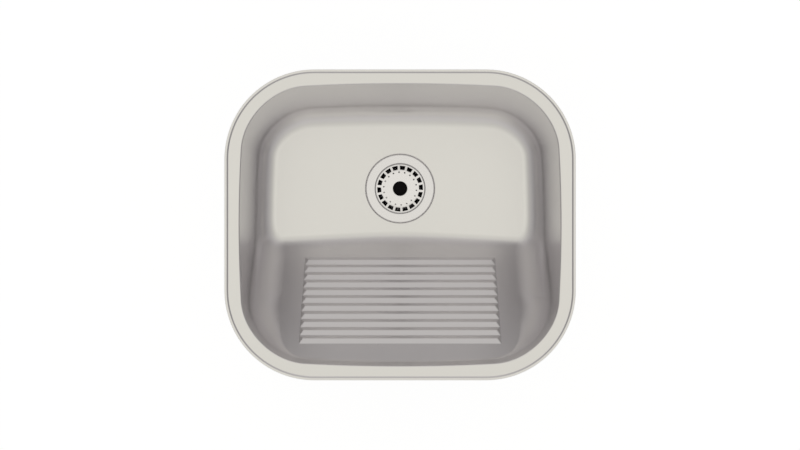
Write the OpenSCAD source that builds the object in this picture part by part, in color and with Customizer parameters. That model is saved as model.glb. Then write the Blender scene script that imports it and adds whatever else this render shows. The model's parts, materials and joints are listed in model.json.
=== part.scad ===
// Drop-in laundry sink: a pressed sheet bowl with a washboard slope at the front,
// a basket strainer with a pull-up plug, and four clips that grip the worktop.
// The origin is the centre of the rim in the worktop plane, which is the underside
// of the outer lip. +Z is up and +Y points to the back of the worktop.

/* [Rim] */
// Width of the rim over all
rim_w = 520; // [505:1:535]
// Depth of the rim over all
rim_d = 460; // [448:1:472]
// Corner radius of the rim
rim_r = 133; // [128:1:138]
// Width of the thin lip that lies on the worktop
lip_w = 3.3; // [3:0.1:3.8]
// Width of the riser between the lip and the flange
riser_w = 2.4; // [2:0.1:2.8]
// Height of the flange over the worktop
flange_top = 2.4; // [2:0.1:2.6]
// Thickness of the pressed sheet
sheet_t = 0.8; // [0.7:0.1:1]

/* [Bowl] */
// Width of the opening at mid depth
open_w = 475; // [470:1:478]
// Depth of the opening at mid width
open_d = 416.8; // [412:0.1:420]
// Corner radius of the opening before its sides are bowed
open_r = 91; // [88:1:94]
// Bow of the left and right sides, as a share of the half width
bow_x = 0.042; // [0.035:0.001:0.045]
// Bow of the front and back sides, as a share of the half depth
bow_y = 0.047; // [0.04:0.001:0.05]
// Fold radius from the flange into the wall
fold_r = 2.2; // [2:0.1:3]
// Lean of the left and right walls in degrees
side_draft = 1.5; // [1.2:0.1:2]
// Lean of the front and back walls in degrees
back_draft = 4.8; // [4.5:0.1:5.5]
// Fillet from the side walls to the floor
floor_fillet = 33; // [30:1:35]
// Fillet from the back wall to the floor
back_fillet = 35; // [31:1:37]
// Fillet from the side walls to the slope
slope_fillet = 50; // [44:1:52]
// Fillet from the front corners to the slope
corner_fillet = 70; // [62:1:74]
// Fillet from the front wall to the slope
front_fillet = 12; // [10:1:16]
// Depth from the worktop down to the drain flange
drain_depth = 210; // [205:1:215]
// Fall of the floor towards the drain
floor_fall = 0.06; // [0.04:0.005:0.07]

/* [Washboard] */
// Slope of the washboard in degrees
slope_deg = 45; // [44:0.5:46]
// Distance of the slope's foot in front of the rim centre
slope_foot = 20.2; // [18:0.2:23]
// Number of ribs
rib_count = 11; // [8:1:11]
// Spacing of the ribs along the slope
rib_pitch = 16.45; // [16.4:0.05:16.6]
// Height of a rib square to the slope
rib_h = 2.5; // [2:0.1:2.8]
// Half length of a rib at its foot
rib_half = 154; // [145:1:156]
// Distance from the slope's foot to the foot of the first rib, in plan
rib_start = 32.8; // [31:0.1:35]

/* [Drain] */
// Distance of the drain behind the rim centre
drain_y = 60; // [55:1:65]
// Radius of the drain flange
flange_r = 56; // [55:0.5:56.5]
// Inner radius of the strainer cup over its shoulder
cup_r = 41.2; // [41:0.1:41.5]
// Outer radius of the outlet neck
neck_r = 23.9; // [23.5:0.1:24.3]
// Number of slots in the basket
slot_count = 18; // [12:1:18]
// Width of the bars between the basket's slots
bar_w = 3.7; // [3.2:0.1:4.5]
// Radius of the knob
knob_r = 12; // [10:0.1:12.4]
// Height that the plug is pulled up
plug_lift = 8; // [6:0.5:8]

/* [Clips] */
// Distance of each clip from the middle of its side
clip_x = 100; // [80:1:110]
// Reach of a claw from its screw
claw_reach = 14; // [12:0.5:14.5]
// Depth of the claw plate under the worktop plane
claw_depth = 45; // [42:1:48]

/* [Hidden] */
$fn = 96;

// Resolution of the pressed sheet
side_steps = 6;
end_steps = 8;
corner_steps = 12;
fold_steps = 4;
fillet_steps = 7;
flat_steps = 4;
blend_steps = 3;
slope_steps = 4;

// Rim section
lip_seat = lip_w + 0.3;

// Levels and radii round the drain
recess_edge = -drain_depth + 0.2;
flange_z = -drain_depth - 0.4;
recess_z = -drain_depth - 2.2;
recess_r = flange_r + 3;
recess_rim_r = flange_r + 1.3;
recess_flat_r = flange_r + 0.5;
hole_r = cup_r + 2.3;
hole_margin = 1.5;
bend_round = 11;
corner_turn = 0.65;
rib_gap = 0.5;
crest_part = 0.547;
rib_end_run = 5.5;
rib_root = 0.35;

// Strainer cup, in heights under the flange's top
wall_t = 1.2;
seat_r = cup_r - 2.2;
gasket_t = 0.8;
shoulder_h = 3.4;
cup_h = 39.6;
neck_h = 75;
outlet_r = neck_r - 3.4;

// Clamping stack under the sheet
stack_top = recess_z - sheet_t;
lower_gasket_t = 3.2;
friction_t = 1.2;
lock_nut_t = 12;

// Basket and plug, in heights under the flange's top
basket_t = 0.8;
basket_r = cup_r - 1.2;
lip_top_h = 2.4;
shoulder_fall = 1.6;
basket_h = lip_top_h + shoulder_fall;
dish_r = seat_r - 9.5;
slot_in_r = dish_r + 1.7;
slot_out_r = basket_r - 2.2;
drip_ring_r = dish_r - 2.3;
drip_r = 1.4;
stem_r = 3;
bush_r = 4.5;
bush_head_r = 7.5;
bush_head_t = 1.5;
bush_clear = 0.08;
seal_t = 2;
plug_washer_t = 1.2;
plug_nut_t = 5;
plug_nut_r = 5.8;
knob_t = 8;
knob_top = bush_head_t - basket_h + 0.3 + knob_t;
washer_top_h = cup_h - seal_t - plug_washer_t;
bush_end_h = washer_top_h - plug_lift - 0.1;

// Clips
flange_under = flange_top - sheet_t;
bracket_t = 1.5;
bracket_w = 20;
bracket_h = 17.2;
screw_r = 2;
thread_clear = 0.06;
nut_t = 3.2;
nut_half = 3.5;
screw_top = -10;
head_r = 3.6;
head_t = 3.2;
socket_r = 1.9;
claw_w = 8;
claw_t = 3;
tooth_w = 3;
tooth_h = 6;
ring_r = 3.4;
ring_t = 1;
bracket_back = nut_half + bracket_t;
CLIPS = [[clip_x, 1], [-clip_x, 1], [clip_x, -1], [-clip_x, -1]];

// Pads
pad_t = 2.5;
glue = 0.25;
floor_pad_w = 90;
floor_pad_d = 110;
floor_pad_x = 125;
floor_pad_back = 15;
slope_pad_w = 240;
pad_margin = 2;

// Outline of a rounded rectangle with the given half sizes and corner radius
function quarter(cx, cy, r, from) =
    [for (k = [0:corner_steps - 1])
        let (a = from + 90 * k / corner_steps) [cx + r * cos(a), cy + r * sin(a)]];
function straight(a, b, n) = [for (k = [0:n - 1]) a + (b - a) * k / n];
function outline(a, b, r) =
    let (cx = a - r, cy = b - r)
    concat(
        straight([a, -cy], [a, cy], side_steps), quarter(cx, cy, r, 0),
        straight([cx, b], [-cx, b], end_steps), quarter(-cx, cy, r, 90),
        straight([-a, cy], [-a, -cy], side_steps), quarter(-cx, -cy, r, 180),
        straight([-cx, -b], [cx, -b], end_steps), quarter(cx, -cy, r, 270));

// The opening is a rounded rectangle whose sides bow outwards at their middles
open_a = open_w / 2;
open_b = open_d / 2;
function bowed(p) =
    [p.x * (1 - bow_x * pow(p.y / open_b, 2)), p.y * (1 - bow_y * pow(p.x / open_a, 2))];
opening = [for (p = outline(open_a, open_b, open_r)) bowed(p)];
count = len(opening);
clip_y = bowed([clip_x, open_b]).y + fold_r + bracket_back;
function normal_at(i) =
    let (t = opening[(i + 1) % count] - opening[(i + count - 1) % count])
    [t.y, -t.x] / norm(t);

// Heights of the basin: a floor that falls to the drain, blended into the slope
function floor_z(p) = recess_edge + floor_fall * (norm([p.x, p.y - drain_y]) - recess_r);
function slope_z(p) = -drain_depth - (p.y + slope_foot) * tan(slope_deg);
function blended(a, b, k) =
    let (h = max(k - abs(a - b), 0) / k) max(a, b) + h * h * k / 4;
function basin_z(p) = blended(floor_z(p), slope_z(p), bend_round);

// Lean and fillet radius at a point of the opening with outward normal n
function ramp(x, a, b) = let (t = min(max((x - a) / (b - a), 0), 1)) t * t * (3 - 2 * t);
function lean(n) = tan(side_draft + (back_draft - side_draft) * n.y * n.y);
function fillet_at(p, n) =
    let (side = floor_fillet + (slope_fillet - floor_fillet) * ramp(-p.y, -10, 60))
    n.y > 0 ? side + (back_fillet - side) * ramp(n.y, 0.3, 1)
        : side + (corner_fillet - side) * ramp(-n.y, 0, corner_turn)
            + (front_fillet - corner_fillet) * ramp(-n.y, corner_turn, 1);

// Each profile lies in an upright plane square to the opening: u runs inwards from
// the opening and z upwards. spot() turns it back into a point of the bowl.
function spot(i, u, z) = let (q = opening[i] - u * normal_at(i)) [q.x, q.y, z];
function height_at(i, u) = basin_z(opening[i] - u * normal_at(i));
function fillet_fit(i, u, radius, lean_t, rounds) =
    let (z = height_at(i, u), s = height_at(i, u + 0.5) - height_at(i, u - 0.5),
        nf = [-s, 1] / norm([-s, 1]), nw = [1, lean_t] / norm([1, lean_t]),
        a = radius + flange_top * nw.y, b = radius + [u, z] * nf,
        det = nw.x * nf.y - nw.y * nf.x,
        c = [(a * nf.y - b * nw.y) / det, (b * nw.x - a * nf.x) / det])
    rounds == 0 ? [c, nw, nf] : fillet_fit(i, c.x - radius * nf.x, radius, lean_t, rounds - 1);

// Fold and fillet points of one profile, moved outwards by t for the sheet's far side
function wall_profile(i, t) =
    let (n = normal_at(i), k = lean(n), radius = fillet_at(opening[i], n),
        fold_c = [fold_r * (k - norm([1, k])), flange_top - fold_r],
        fit = fillet_fit(i, radius + 10, radius, k, 6),
        from = atan2(-fit[1].y, -fit[1].x) + 360, to = atan2(-fit[2].y, -fit[2].x) + 360)
    concat(
        [for (j = [0:fold_steps])
            let (a = 90 - (90 - atan(k)) * j / fold_steps)
            fold_c + (fold_r - t) * [cos(a), sin(a)]],
        [for (j = [0:fillet_steps])
            let (a = from + (to - from) * j / fillet_steps)
            fit[0] + (radius + t) * [cos(a), sin(a)]]);
function foot(i) = let (w = wall_profile(i, 0), e = w[len(w) - 1]) opening[i] - e.x * normal_at(i);

// Rings of the basin run from the drain recess to the foot of the wall. Their
// spacing follows the bend between floor and slope, which bend() finds.
function mixed_angle(i, q) =
    let (a = atan2(q.y - drain_y, q.x), even = 360 * i / count - 40,
        near = a + 360 * round((even - a) / 360))
    (near + even) / 2;
function start_at(i, q) = let (a = mixed_angle(i, q)) [recess_r * cos(a), drain_y + recess_r * sin(a)];
function bend(p, q, level, lo, hi, rounds) =
    let (m = (lo + hi) / 2, r = p + (q - p) * m)
    rounds == 0 ? m
        : slope_z(r) - floor_z(r) > level ? bend(p, q, level, lo, m, rounds - 1)
        : bend(p, q, level, m, hi, rounds - 1);
function spread(a, b, n) = [for (k = [1:n]) a + (b - a) * k / n];
function basin_steps(p, q) =
    let (va = min(bend(p, q, -bend_round, 0, 1, 10), 0.62),
        vb = min(bend(p, q, bend_round, 0, 1, 10), 0.8))
    concat(spread(0, va, flat_steps), spread(va, vb, blend_steps), spread(vb, 1, slope_steps));
function slope_normal(p) =
    let (gx = basin_z(p + [0.1, 0]) - basin_z(p - [0.1, 0]),
        gy = basin_z(p + [0, 0.1]) - basin_z(p - [0, 0.1]))
    [-gx, -gy, 0.2] / norm([gx, gy, 0.2]);
function on_basin(p, t) = [p.x, p.y, basin_z(p)] - t * slope_normal(p);

// One side of the sheet as lists of points from the rim to the drain hole
function drain_point(a, r, z) = [r * cos(a), drain_y + r * sin(a), z];
function strand(i, t) =
    let (w = wall_profile(i, t), q = foot(i), p = start_at(i, q), a = mixed_angle(i, q),
        steps = basin_steps(p, q), last = len(steps) - 1)
    concat(
        [for (e = w) spot(i, e.x, e.y)],
        [for (j = [last - 1:-1:0]) on_basin(p + (q - p) * steps[j], t)],
        [drain_point(a, recess_r, recess_edge - t),
            drain_point(a, recess_rim_r + 0.55 * t, recess_edge - 0.4 - 0.85 * t),
            drain_point(a, recess_flat_r + 0.7 * t, recess_z - t),
            drain_point(a, hole_r - hole_margin, recess_z - t)]);
function rim_ring(inset, z) =
    [for (p = outline(rim_w / 2 - inset, rim_d / 2 - inset, rim_r - inset)) [p.x, p.y, z]];
top_strands = [for (i = [0:count - 1]) strand(i, 0)];
under_strands = [for (i = [0:count - 1]) strand(i, sheet_t)];
function turned(strands) =
    [for (j = [0:len(strands[0]) - 1]) [for (i = [0:count - 1]) strands[i][j]]];
function flipped(rings) = [for (j = [len(rings) - 1:-1:0]) rings[j]];
sheet_rings = concat(
    [rim_ring(0, 0), rim_ring(0, sheet_t - 0.2), rim_ring(0.2, sheet_t), rim_ring(lip_w, sheet_t),
        rim_ring(lip_w + riser_w, flange_top)],
    turned(top_strands), flipped(turned(under_strands)),
    [rim_ring(lip_seat + riser_w, flange_under), rim_ring(lip_seat, 0)]);

// A closed skin over rings that are joined back to the first one
module ring_skin(rings) {
    n = len(rings[0]);
    m = len(rings);
    points = [for (ring = rings) for (p = ring) p];
    faces = [for (j = [0:m - 1]) for (i = [0:n - 1])
        let (a = j * n + i, b = j * n + (i + 1) % n,
            c = ((j + 1) % m) * n + (i + 1) % n, d = ((j + 1) % m) * n + i)
        each [[a, d, c], [a, c, b]]];
    polyhedron(points, faces, convexity = 10);
}

// Places things on the slope: local X stays, local Y runs down to the drain, Z is square
module on_slope() {
    y = -slope_foot - rib_start;
    translate([0, y, slope_z([0, y])])
        rotate([-slope_deg, 0, 0])
            children();
}

// One rib as a hipped roof: flat tread on the front side, steep riser on the drain side
module rib(lift) {
    long = rib_pitch - rib_gap;
    crest = long * crest_part;
    d = rib_root / rib_h;
    ya = -crest * d;
    yb = long + (long - crest) * d;
    xb = rib_half + rib_end_run * d;
    xc = rib_half - rib_end_run;
    z = lift - rib_root;
    points = [[-xb, ya, z], [xb, ya, z], [xb, yb, z], [-xb, yb, z],
        [-xc, crest, lift + rib_h], [xc, crest, lift + rib_h]];
    polyhedron(points, [[0, 1, 2, 3], [1, 0, 4, 5], [3, 2, 5, 4], [0, 3, 4], [2, 1, 5]]);
}

module ribs(lift) {
    on_slope()
        for (k = [1:rib_count])
            translate([0, -k * rib_pitch + rib_gap / 2, 0])
                rib(lift);
}

module bowl() {
    color([0.83, 0.82, 0.79])
        difference() {
            union() {
                ring_skin(sheet_rings);
                ribs(0);
            }
            ribs(-sheet_t);
            translate([0, drain_y, recess_z - 5])
                cylinder(r = hole_r, h = 10);
        }
}

// Rounded rectangle with true arcs, inset from the rim's edge
module rim_shape(inset) {
    cx = rim_w / 2 - rim_r;
    cy = rim_d / 2 - rim_r;
    r = rim_r - inset;
    square([2 * cx, 2 * (cy + r)], center = true);
    square([2 * (cx + r), 2 * cy], center = true);
    for (sx = [-1, 1], sy = [-1, 1])
        translate([sx * cx, sy * cy])
            circle(r);
}

module rim_seal() {
    color([0.16, 0.16, 0.17])
        linear_extrude(flange_under)
            difference() {
                rim_shape(lip_seat + riser_w + 1);
                rim_shape(lip_seat + riser_w + 5.5);
            }
}

// A pad under the falling floor, to one side of the drain
module floor_pad(side) {
    inner = floor_pad_x - floor_pad_w / 2 - pad_margin;
    outer = norm([floor_pad_x + floor_pad_w / 2, floor_pad_back + floor_pad_d / 2]) + pad_margin;
    top_in = recess_edge + floor_fall * (inner - recess_r) - sheet_t - glue;
    top_out = recess_edge + floor_fall * (outer - recess_r) - sheet_t - glue;
    intersection() {
        translate([0, drain_y, 0])
            rotate_extrude()
                polygon([[inner, top_in], [outer, top_out], [outer, top_out - pad_t], [inner, top_in - pad_t]]);
        translate([side * floor_pad_x, drain_y + floor_pad_back, -drain_depth])
            cube([floor_pad_w, floor_pad_d, drain_depth / 2], center = true);
    }
}

module floor_pads() {
    color([0.2, 0.2, 0.21])
        for (side = [-1, 1])
            floor_pad(side);
}

module slope_pad() {
    color([0.2, 0.2, 0.21])
        on_slope()
            translate([-slope_pad_w / 2, -rib_pitch * (rib_count - 1), -sheet_t - pad_t])
                cube([slope_pad_w, rib_pitch * (rib_count - 2), pad_t]);
}

// Puts a clip part in place: local +X points out of the sink, Z = 0 is the worktop plane
module at_clip(k) {
    spot = CLIPS[k - 1];
    translate([spot.x, spot.y * clip_y, 0])
        rotate([0, 0, 90 * spot.y])
            children();
}

module bracket() {
    difference() {
        union() {
            translate([-bracket_back, -bracket_w / 2, flange_under - bracket_t])
                cube([bracket_back + nut_half, bracket_w, bracket_t]);
            translate([-bracket_back, -bracket_w / 2, flange_under - bracket_h])
                cube([bracket_t, bracket_w, bracket_h]);
            translate([-bracket_back, -bracket_w / 2, flange_under - bracket_h])
                cube([bracket_back + nut_half, bracket_w, bracket_t]);
        }
        translate([0, 0, -bracket_h - 1])
            cylinder(r = screw_r + 0.5, h = bracket_h + 4, $fn = 48);
    }
}

module clip_brackets() {
    color([0.72, 0.72, 0.72])
        for (k = [1:len(CLIPS)])
            at_clip(k)
                bracket();
}

module clip_nuts() {
    color([0.78, 0.76, 0.7])
        for (k = [1:len(CLIPS)])
            at_clip(k)
                translate([0, 0, flange_under - bracket_h + bracket_t])
                    difference() {
                        rotate([0, 0, 30])
                            cylinder(r = nut_half / cos(30), h = nut_t, $fn = 6);
                        translate([0, 0, -1])
                            cylinder(r = screw_r + thread_clear, h = nut_t + 2, $fn = 48);
                    }
}

module clip_screw(k) {
    color([0.78, 0.76, 0.7])
        at_clip(k) {
            translate([0, 0, -claw_depth])
                cylinder(r = screw_r, h = screw_top + claw_depth, $fn = 48);
            difference() {
                translate([0, 0, -claw_depth - head_t])
                    cylinder(r = head_r, h = head_t, $fn = 48);
                translate([0, 0, -claw_depth - head_t - 1])
                    cylinder(r = socket_r, h = head_t - 0.2, $fn = 6);
            }
        }
}

// The claw is drawn folded along the wall: local +Y, with its tooth at the tip
module clip_claw(k) {
    color([0.7, 0.7, 0.7])
        at_clip(k)
            difference() {
                union() {
                    translate([0, 0, -claw_depth])
                        cylinder(r = claw_w / 2, h = claw_t, $fn = 48);
                    translate([-claw_w / 2, 0, -claw_depth])
                        cube([claw_w, claw_reach, claw_t]);
                    translate([-claw_w / 2, claw_reach - tooth_w, -claw_depth])
                        cube([claw_w, tooth_w, claw_t + tooth_h]);
                }
                translate([0, 0, -claw_depth - 1])
                    cylinder(r = screw_r + thread_clear, h = claw_t + 2, $fn = 48);
            }
}

module clip_ring(k) {
    color([0.6, 0.6, 0.6])
        at_clip(k)
            translate([0, 0, -claw_depth + claw_t + 0.05])
                difference() {
                    cylinder(r = ring_r, h = ring_t, $fn = 48);
                    translate([0, 0, -1])
                        cylinder(r = screw_r, h = ring_t + 2, $fn = 48);
                }
}

// Turns drain parts about the drain's axis, with Z = 0 at the flange's top
module at_drain() {
    translate([0, drain_y, flange_z])
        children();
}

module ring(r_in, r_out, z, t) {
    translate([0, 0, z])
        difference() {
            cylinder(r = r_out, h = t);
            translate([0, 0, -1])
                cylinder(r = r_in, h = t + 2);
        }
}

module strainer_body() {
    out = cup_r + wall_t;
    low = seat_r + wall_t;
    flange_t = recess_z - flange_z + gasket_t;
    profile = [[flange_r, flange_t - 0.6], [flange_r, -0.4], [flange_r - 0.6, 0],
        [cup_r + 1.4, -0.1], [cup_r + 0.6, -0.3], [cup_r + 0.15, -0.8], [cup_r, -1.4],
        [cup_r, -shoulder_h], [seat_r + 0.4, -shoulder_h], [seat_r, -shoulder_h - 0.4],
        [seat_r, -30], [seat_r - 1.2, -35.4], [seat_r - 4, -cup_h + 0.6], [seat_r - 7, -cup_h],
        [outlet_r, -cup_h], [outlet_r, -neck_h], [neck_r, -neck_h], [neck_r, -cup_h - wall_t],
        [seat_r - 6.6, -cup_h - wall_t], [seat_r - 3, -cup_h - 0.4], [low - 1.2, -35.8],
        [low, -30.2], [low, -shoulder_h - wall_t - 0.4], [out, -shoulder_h - wall_t + 0.2],
        [out, flange_t - 0.4], [out + 0.4, flange_t], [flange_r - wall_t, flange_t],
        [flange_r - wall_t, flange_t - 0.6]];
    color([0.87, 0.86, 0.83])
        at_drain()
            rotate_extrude()
                polygon(profile);
}

module flange_gasket() {
    color([0.12, 0.12, 0.12])
        at_drain()
            ring(hole_r + 1, flange_r - wall_t - 0.3, recess_z - flange_z, gasket_t);
}

module lower_gasket() {
    color([0.12, 0.12, 0.12])
        at_drain()
            ring(hole_r - 0.5, flange_r - 1, stack_top - flange_z - lower_gasket_t, lower_gasket_t);
}

module friction_washer() {
    color([0.75, 0.68, 0.52])
        at_drain()
            ring(hole_r - 0.3, flange_r - 1, stack_top - flange_z - lower_gasket_t - friction_t, friction_t);
}

module lock_nut() {
    z = stack_top - flange_z - lower_gasket_t - friction_t - lock_nut_t;
    r = flange_r - 3;
    color([0.8, 0.78, 0.72])
        at_drain()
            difference() {
                union() {
                    translate([0, 0, z])
                        cylinder(r = r, h = lock_nut_t);
                    for (k = [0:5])
                        rotate([0, 0, 60 * k])
                            translate([r - 2, -4, z])
                                cube([7, 8, lock_nut_t - 3]);
                }
                translate([0, 0, z - 1])
                    cylinder(r = seat_r + wall_t + 0.2, h = lock_nut_t + 2);
            }
}

// A slot through the basket's falling shoulder, between two bars of even width
module basket_slot() {
    pitch = tan(180 / slot_count);
    near = slot_in_r * pitch - bar_w / 2;
    far = slot_out_r * pitch - bar_w / 2;
    translate([0, 0, -lip_top_h - shoulder_fall - 1.2])
        linear_extrude(shoulder_fall + 3)
            polygon([[slot_in_r, -near], [slot_out_r, -far], [slot_out_r, far], [slot_in_r, near]]);
}

module basket() {
    edge = basket_r;
    brow = slot_out_r + 0.7;
    profile = [[edge, -shoulder_h], [edge, -lip_top_h - 0.5], [edge - 0.6, -lip_top_h], [brow, -lip_top_h],
        [dish_r, -basket_h], [bush_r, -basket_h], [bush_r, -basket_h - basket_t],
        [dish_r + 0.1, -basket_h - basket_t], [brow + 0.1, -lip_top_h - basket_t], [edge - 1, -lip_top_h - basket_t], [edge - 0.8, -shoulder_h]];
    color([0.9, 0.89, 0.87])
        at_drain()
            difference() {
                rotate_extrude()
                    polygon(profile);
                for (k = [0:slot_count - 1])
                    rotate([0, 0, 90 - 6.4 + k * 360 / slot_count]) {
                        basket_slot();
                        rotate([0, 0, 180 / slot_count])
                            translate([drip_ring_r, 0, -basket_h - 2])
                                cylinder(r = drip_r, h = 3, $fn = 24);
                    }
            }
}

module guide_bush() {
    color([0.15, 0.15, 0.15])
        at_drain()
            difference() {
                union() {
                    translate([0, 0, -basket_h])
                        cylinder(r = bush_head_r, h = bush_head_t, $fn = 64);
                    translate([0, 0, -bush_end_h])
                        cylinder(r = bush_r, h = bush_end_h - basket_h, $fn = 64);
                }
                translate([0, 0, -bush_end_h - 1])
                    cylinder(r = stem_r + bush_clear, h = bush_end_h + 3, $fn = 64);
            }
}

module plug_stem() {
    color([0.85, 0.84, 0.82])
        at_drain()
            translate([0, 0, -cup_h - plug_nut_t - 1.5])
                cylinder(r = stem_r, h = cup_h + plug_nut_t + 1.5 + knob_top - 3, $fn = 64);
}

module knob() {
    dish = 0.8;
    h = knob_t;
    profile = [[0, -dish], [knob_r - 4, -dish], [knob_r - 2.6, -0.1], [knob_r - 1.4, 0],
        [knob_r - 0.4, -0.5], [knob_r, -1.5], [knob_r, -4.5], [knob_r - 0.5, -5.3],
        [6, -h + 1], [5.4, -h], [stem_r, -h], [stem_r, -3], [0, -3]];
    color([0.06, 0.05, 0.06])
        at_drain()
            translate([0, 0, knob_top])
                rotate_extrude()
                    polygon(profile);
}

module plug_washer() {
    color([0.82, 0.81, 0.78])
        at_drain()
            ring(stem_r, outlet_r - 1.5, -washer_top_h - plug_washer_t, plug_washer_t);
}

module plug_seal() {
    color([0.1, 0.1, 0.1])
        at_drain()
            ring(stem_r, outlet_r + 4, -cup_h, seal_t);
}

module plug_nut() {
    color([0.8, 0.78, 0.72])
        at_drain()
            translate([0, 0, -cup_h - plug_nut_t])
                difference() {
                    cylinder(r = plug_nut_r, h = plug_nut_t, $fn = 6);
                    translate([0, 0, -1])
                        cylinder(r = stem_r, h = plug_nut_t + 2, $fn = 64);
                }
}

bowl();
rim_seal();
floor_pads();
slope_pad();
clip_brackets();
clip_nuts();
clip_screw(1);  // clip_screw_1
clip_screw(2);  // clip_screw_2
clip_screw(3);  // clip_screw_3
clip_screw(4);  // clip_screw_4
clip_claw(1);  // clip_claw_1
clip_claw(2);  // clip_claw_2
clip_claw(3);  // clip_claw_3
clip_claw(4);  // clip_claw_4
clip_ring(1);  // clip_ring_1
clip_ring(2);  // clip_ring_2
clip_ring(3);  // clip_ring_3
clip_ring(4);  // clip_ring_4
strainer_body();
flange_gasket();
lower_gasket();
friction_washer();
lock_nut();
basket();
guide_bush();
plug_stem();
knob();
plug_washer();
plug_seal();
plug_nut();
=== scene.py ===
"""Looks of a drop-in laundry sink: satin sheet, washboard slope, basket strainer, plug and worktop clips.

Lengths are in millimetres until a mesh is made. Z = 0 is the worktop plane, +Y the back, and the origin the
centre of the rim, as in the CAD part.
"""

from __future__ import annotations

import json
import logging
import math
from dataclasses import dataclass, field
from enum import Enum
from typing import Any, Callable, Sequence

import bmesh
import bpy
import numpy as np
from mathutils.geometry import delaunay_2d_cdt
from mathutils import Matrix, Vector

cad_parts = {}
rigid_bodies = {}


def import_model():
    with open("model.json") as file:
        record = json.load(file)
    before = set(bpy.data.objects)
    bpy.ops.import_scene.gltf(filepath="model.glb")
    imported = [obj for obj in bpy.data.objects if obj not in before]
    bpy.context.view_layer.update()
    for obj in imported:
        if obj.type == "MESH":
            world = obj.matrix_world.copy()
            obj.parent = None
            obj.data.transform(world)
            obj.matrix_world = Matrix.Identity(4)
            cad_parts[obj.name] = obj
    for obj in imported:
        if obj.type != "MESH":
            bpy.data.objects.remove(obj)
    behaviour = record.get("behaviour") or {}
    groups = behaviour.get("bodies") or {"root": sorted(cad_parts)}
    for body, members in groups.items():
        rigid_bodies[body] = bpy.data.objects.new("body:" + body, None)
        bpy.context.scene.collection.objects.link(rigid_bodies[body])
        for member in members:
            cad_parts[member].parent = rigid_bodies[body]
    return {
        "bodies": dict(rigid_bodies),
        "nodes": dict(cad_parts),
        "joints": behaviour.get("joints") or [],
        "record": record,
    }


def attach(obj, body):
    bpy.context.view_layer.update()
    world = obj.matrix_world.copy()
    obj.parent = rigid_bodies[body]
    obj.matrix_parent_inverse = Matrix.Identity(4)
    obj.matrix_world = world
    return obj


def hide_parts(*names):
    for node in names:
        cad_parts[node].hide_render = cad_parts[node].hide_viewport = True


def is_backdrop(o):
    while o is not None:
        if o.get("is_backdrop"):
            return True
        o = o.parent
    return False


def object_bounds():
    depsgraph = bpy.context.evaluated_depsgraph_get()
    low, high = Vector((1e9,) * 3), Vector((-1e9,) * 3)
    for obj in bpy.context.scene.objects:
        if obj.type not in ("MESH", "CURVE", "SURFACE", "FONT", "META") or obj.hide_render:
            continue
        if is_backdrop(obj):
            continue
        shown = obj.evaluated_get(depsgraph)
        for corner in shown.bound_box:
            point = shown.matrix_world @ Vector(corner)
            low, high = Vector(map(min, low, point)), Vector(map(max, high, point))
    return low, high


MM = 0.001
FULL_TURN = 2 * math.pi
HALF_ROOT = math.sqrt(0.5)
DRAIN_Y = 60.0
FLOOR_GAP = 0.0005
LOG = logging.getLogger("sink")
Array = np.ndarray
Profile = Sequence[tuple[float, float]]


class Slot(str, Enum):
    """Material slots of the record."""

    SHEET = "sheet"
    POLISHED = "polished_sheet"
    GALVANISED = "galvanised"
    ZINC = "zinc"
    PLASTIC = "black_plastic"
    RUBBER = "rubber"
    FOAM = "foam"
    DAMPING = "damping"
    FIBRE = "fibre"


# Shader expressions


class Num:
    """A shader socket that is used like a number in Python expressions."""

    def __init__(self, graph: "Graph", socket: Any) -> None:
        """Keeps the socket and the graph that it belongs to."""
        self.graph = graph
        self.socket = socket

    def math(self, operation: str, *values: Any) -> "Num":
        """Applies a math node.

        Args:
            operation: name of the node's operation.
            *values: its inputs in order, numbers or sockets.

        Returns:
            The node's result.
        """
        node = self.graph.node("ShaderNodeMath", {"operation": operation}, dict(enumerate(values)))
        return Num(self.graph, node.outputs[0])

    def __add__(self, other: Any) -> "Num":
        """Sum."""
        return self.math("ADD", self, other)

    def __radd__(self, other: Any) -> "Num":
        """Sum with a number on the left."""
        return self.math("ADD", other, self)

    def __sub__(self, other: Any) -> "Num":
        """Difference."""
        return self.math("SUBTRACT", self, other)

    def __rsub__(self, other: Any) -> "Num":
        """Difference from a number."""
        return self.math("SUBTRACT", other, self)

    def __mul__(self, other: Any) -> "Num":
        """Product."""
        return self.math("MULTIPLY", self, other)

    def __rmul__(self, other: Any) -> "Num":
        """Product with a number on the left."""
        return self.math("MULTIPLY", other, self)

    def __truediv__(self, other: Any) -> "Num":
        """Quotient."""
        return self.math("DIVIDE", self, other)

    def __pow__(self, other: Any) -> "Num":
        """Power."""
        return self.math("POWER", self, other)

    def near(self, reach: float) -> "Num":
        """1 where the value is within reach of 0, else 0."""
        return self.math("LESS_THAN", self.math("ABSOLUTE", self), reach)

    def step(self, low: float, high: float) -> "Num":
        """Rises smoothly from 0 to 1.

        Args:
            low: the value where the rise starts.
            high: the value where it ends.

        Returns:
            The share risen.
        """
        inputs = {"Value": self, "From Min": low, "From Max": high}
        node = self.graph.node("ShaderNodeMapRange", {"interpolation_type": "SMOOTHSTEP"}, inputs)
        return Num(self.graph, node.outputs["Result"])


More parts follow.
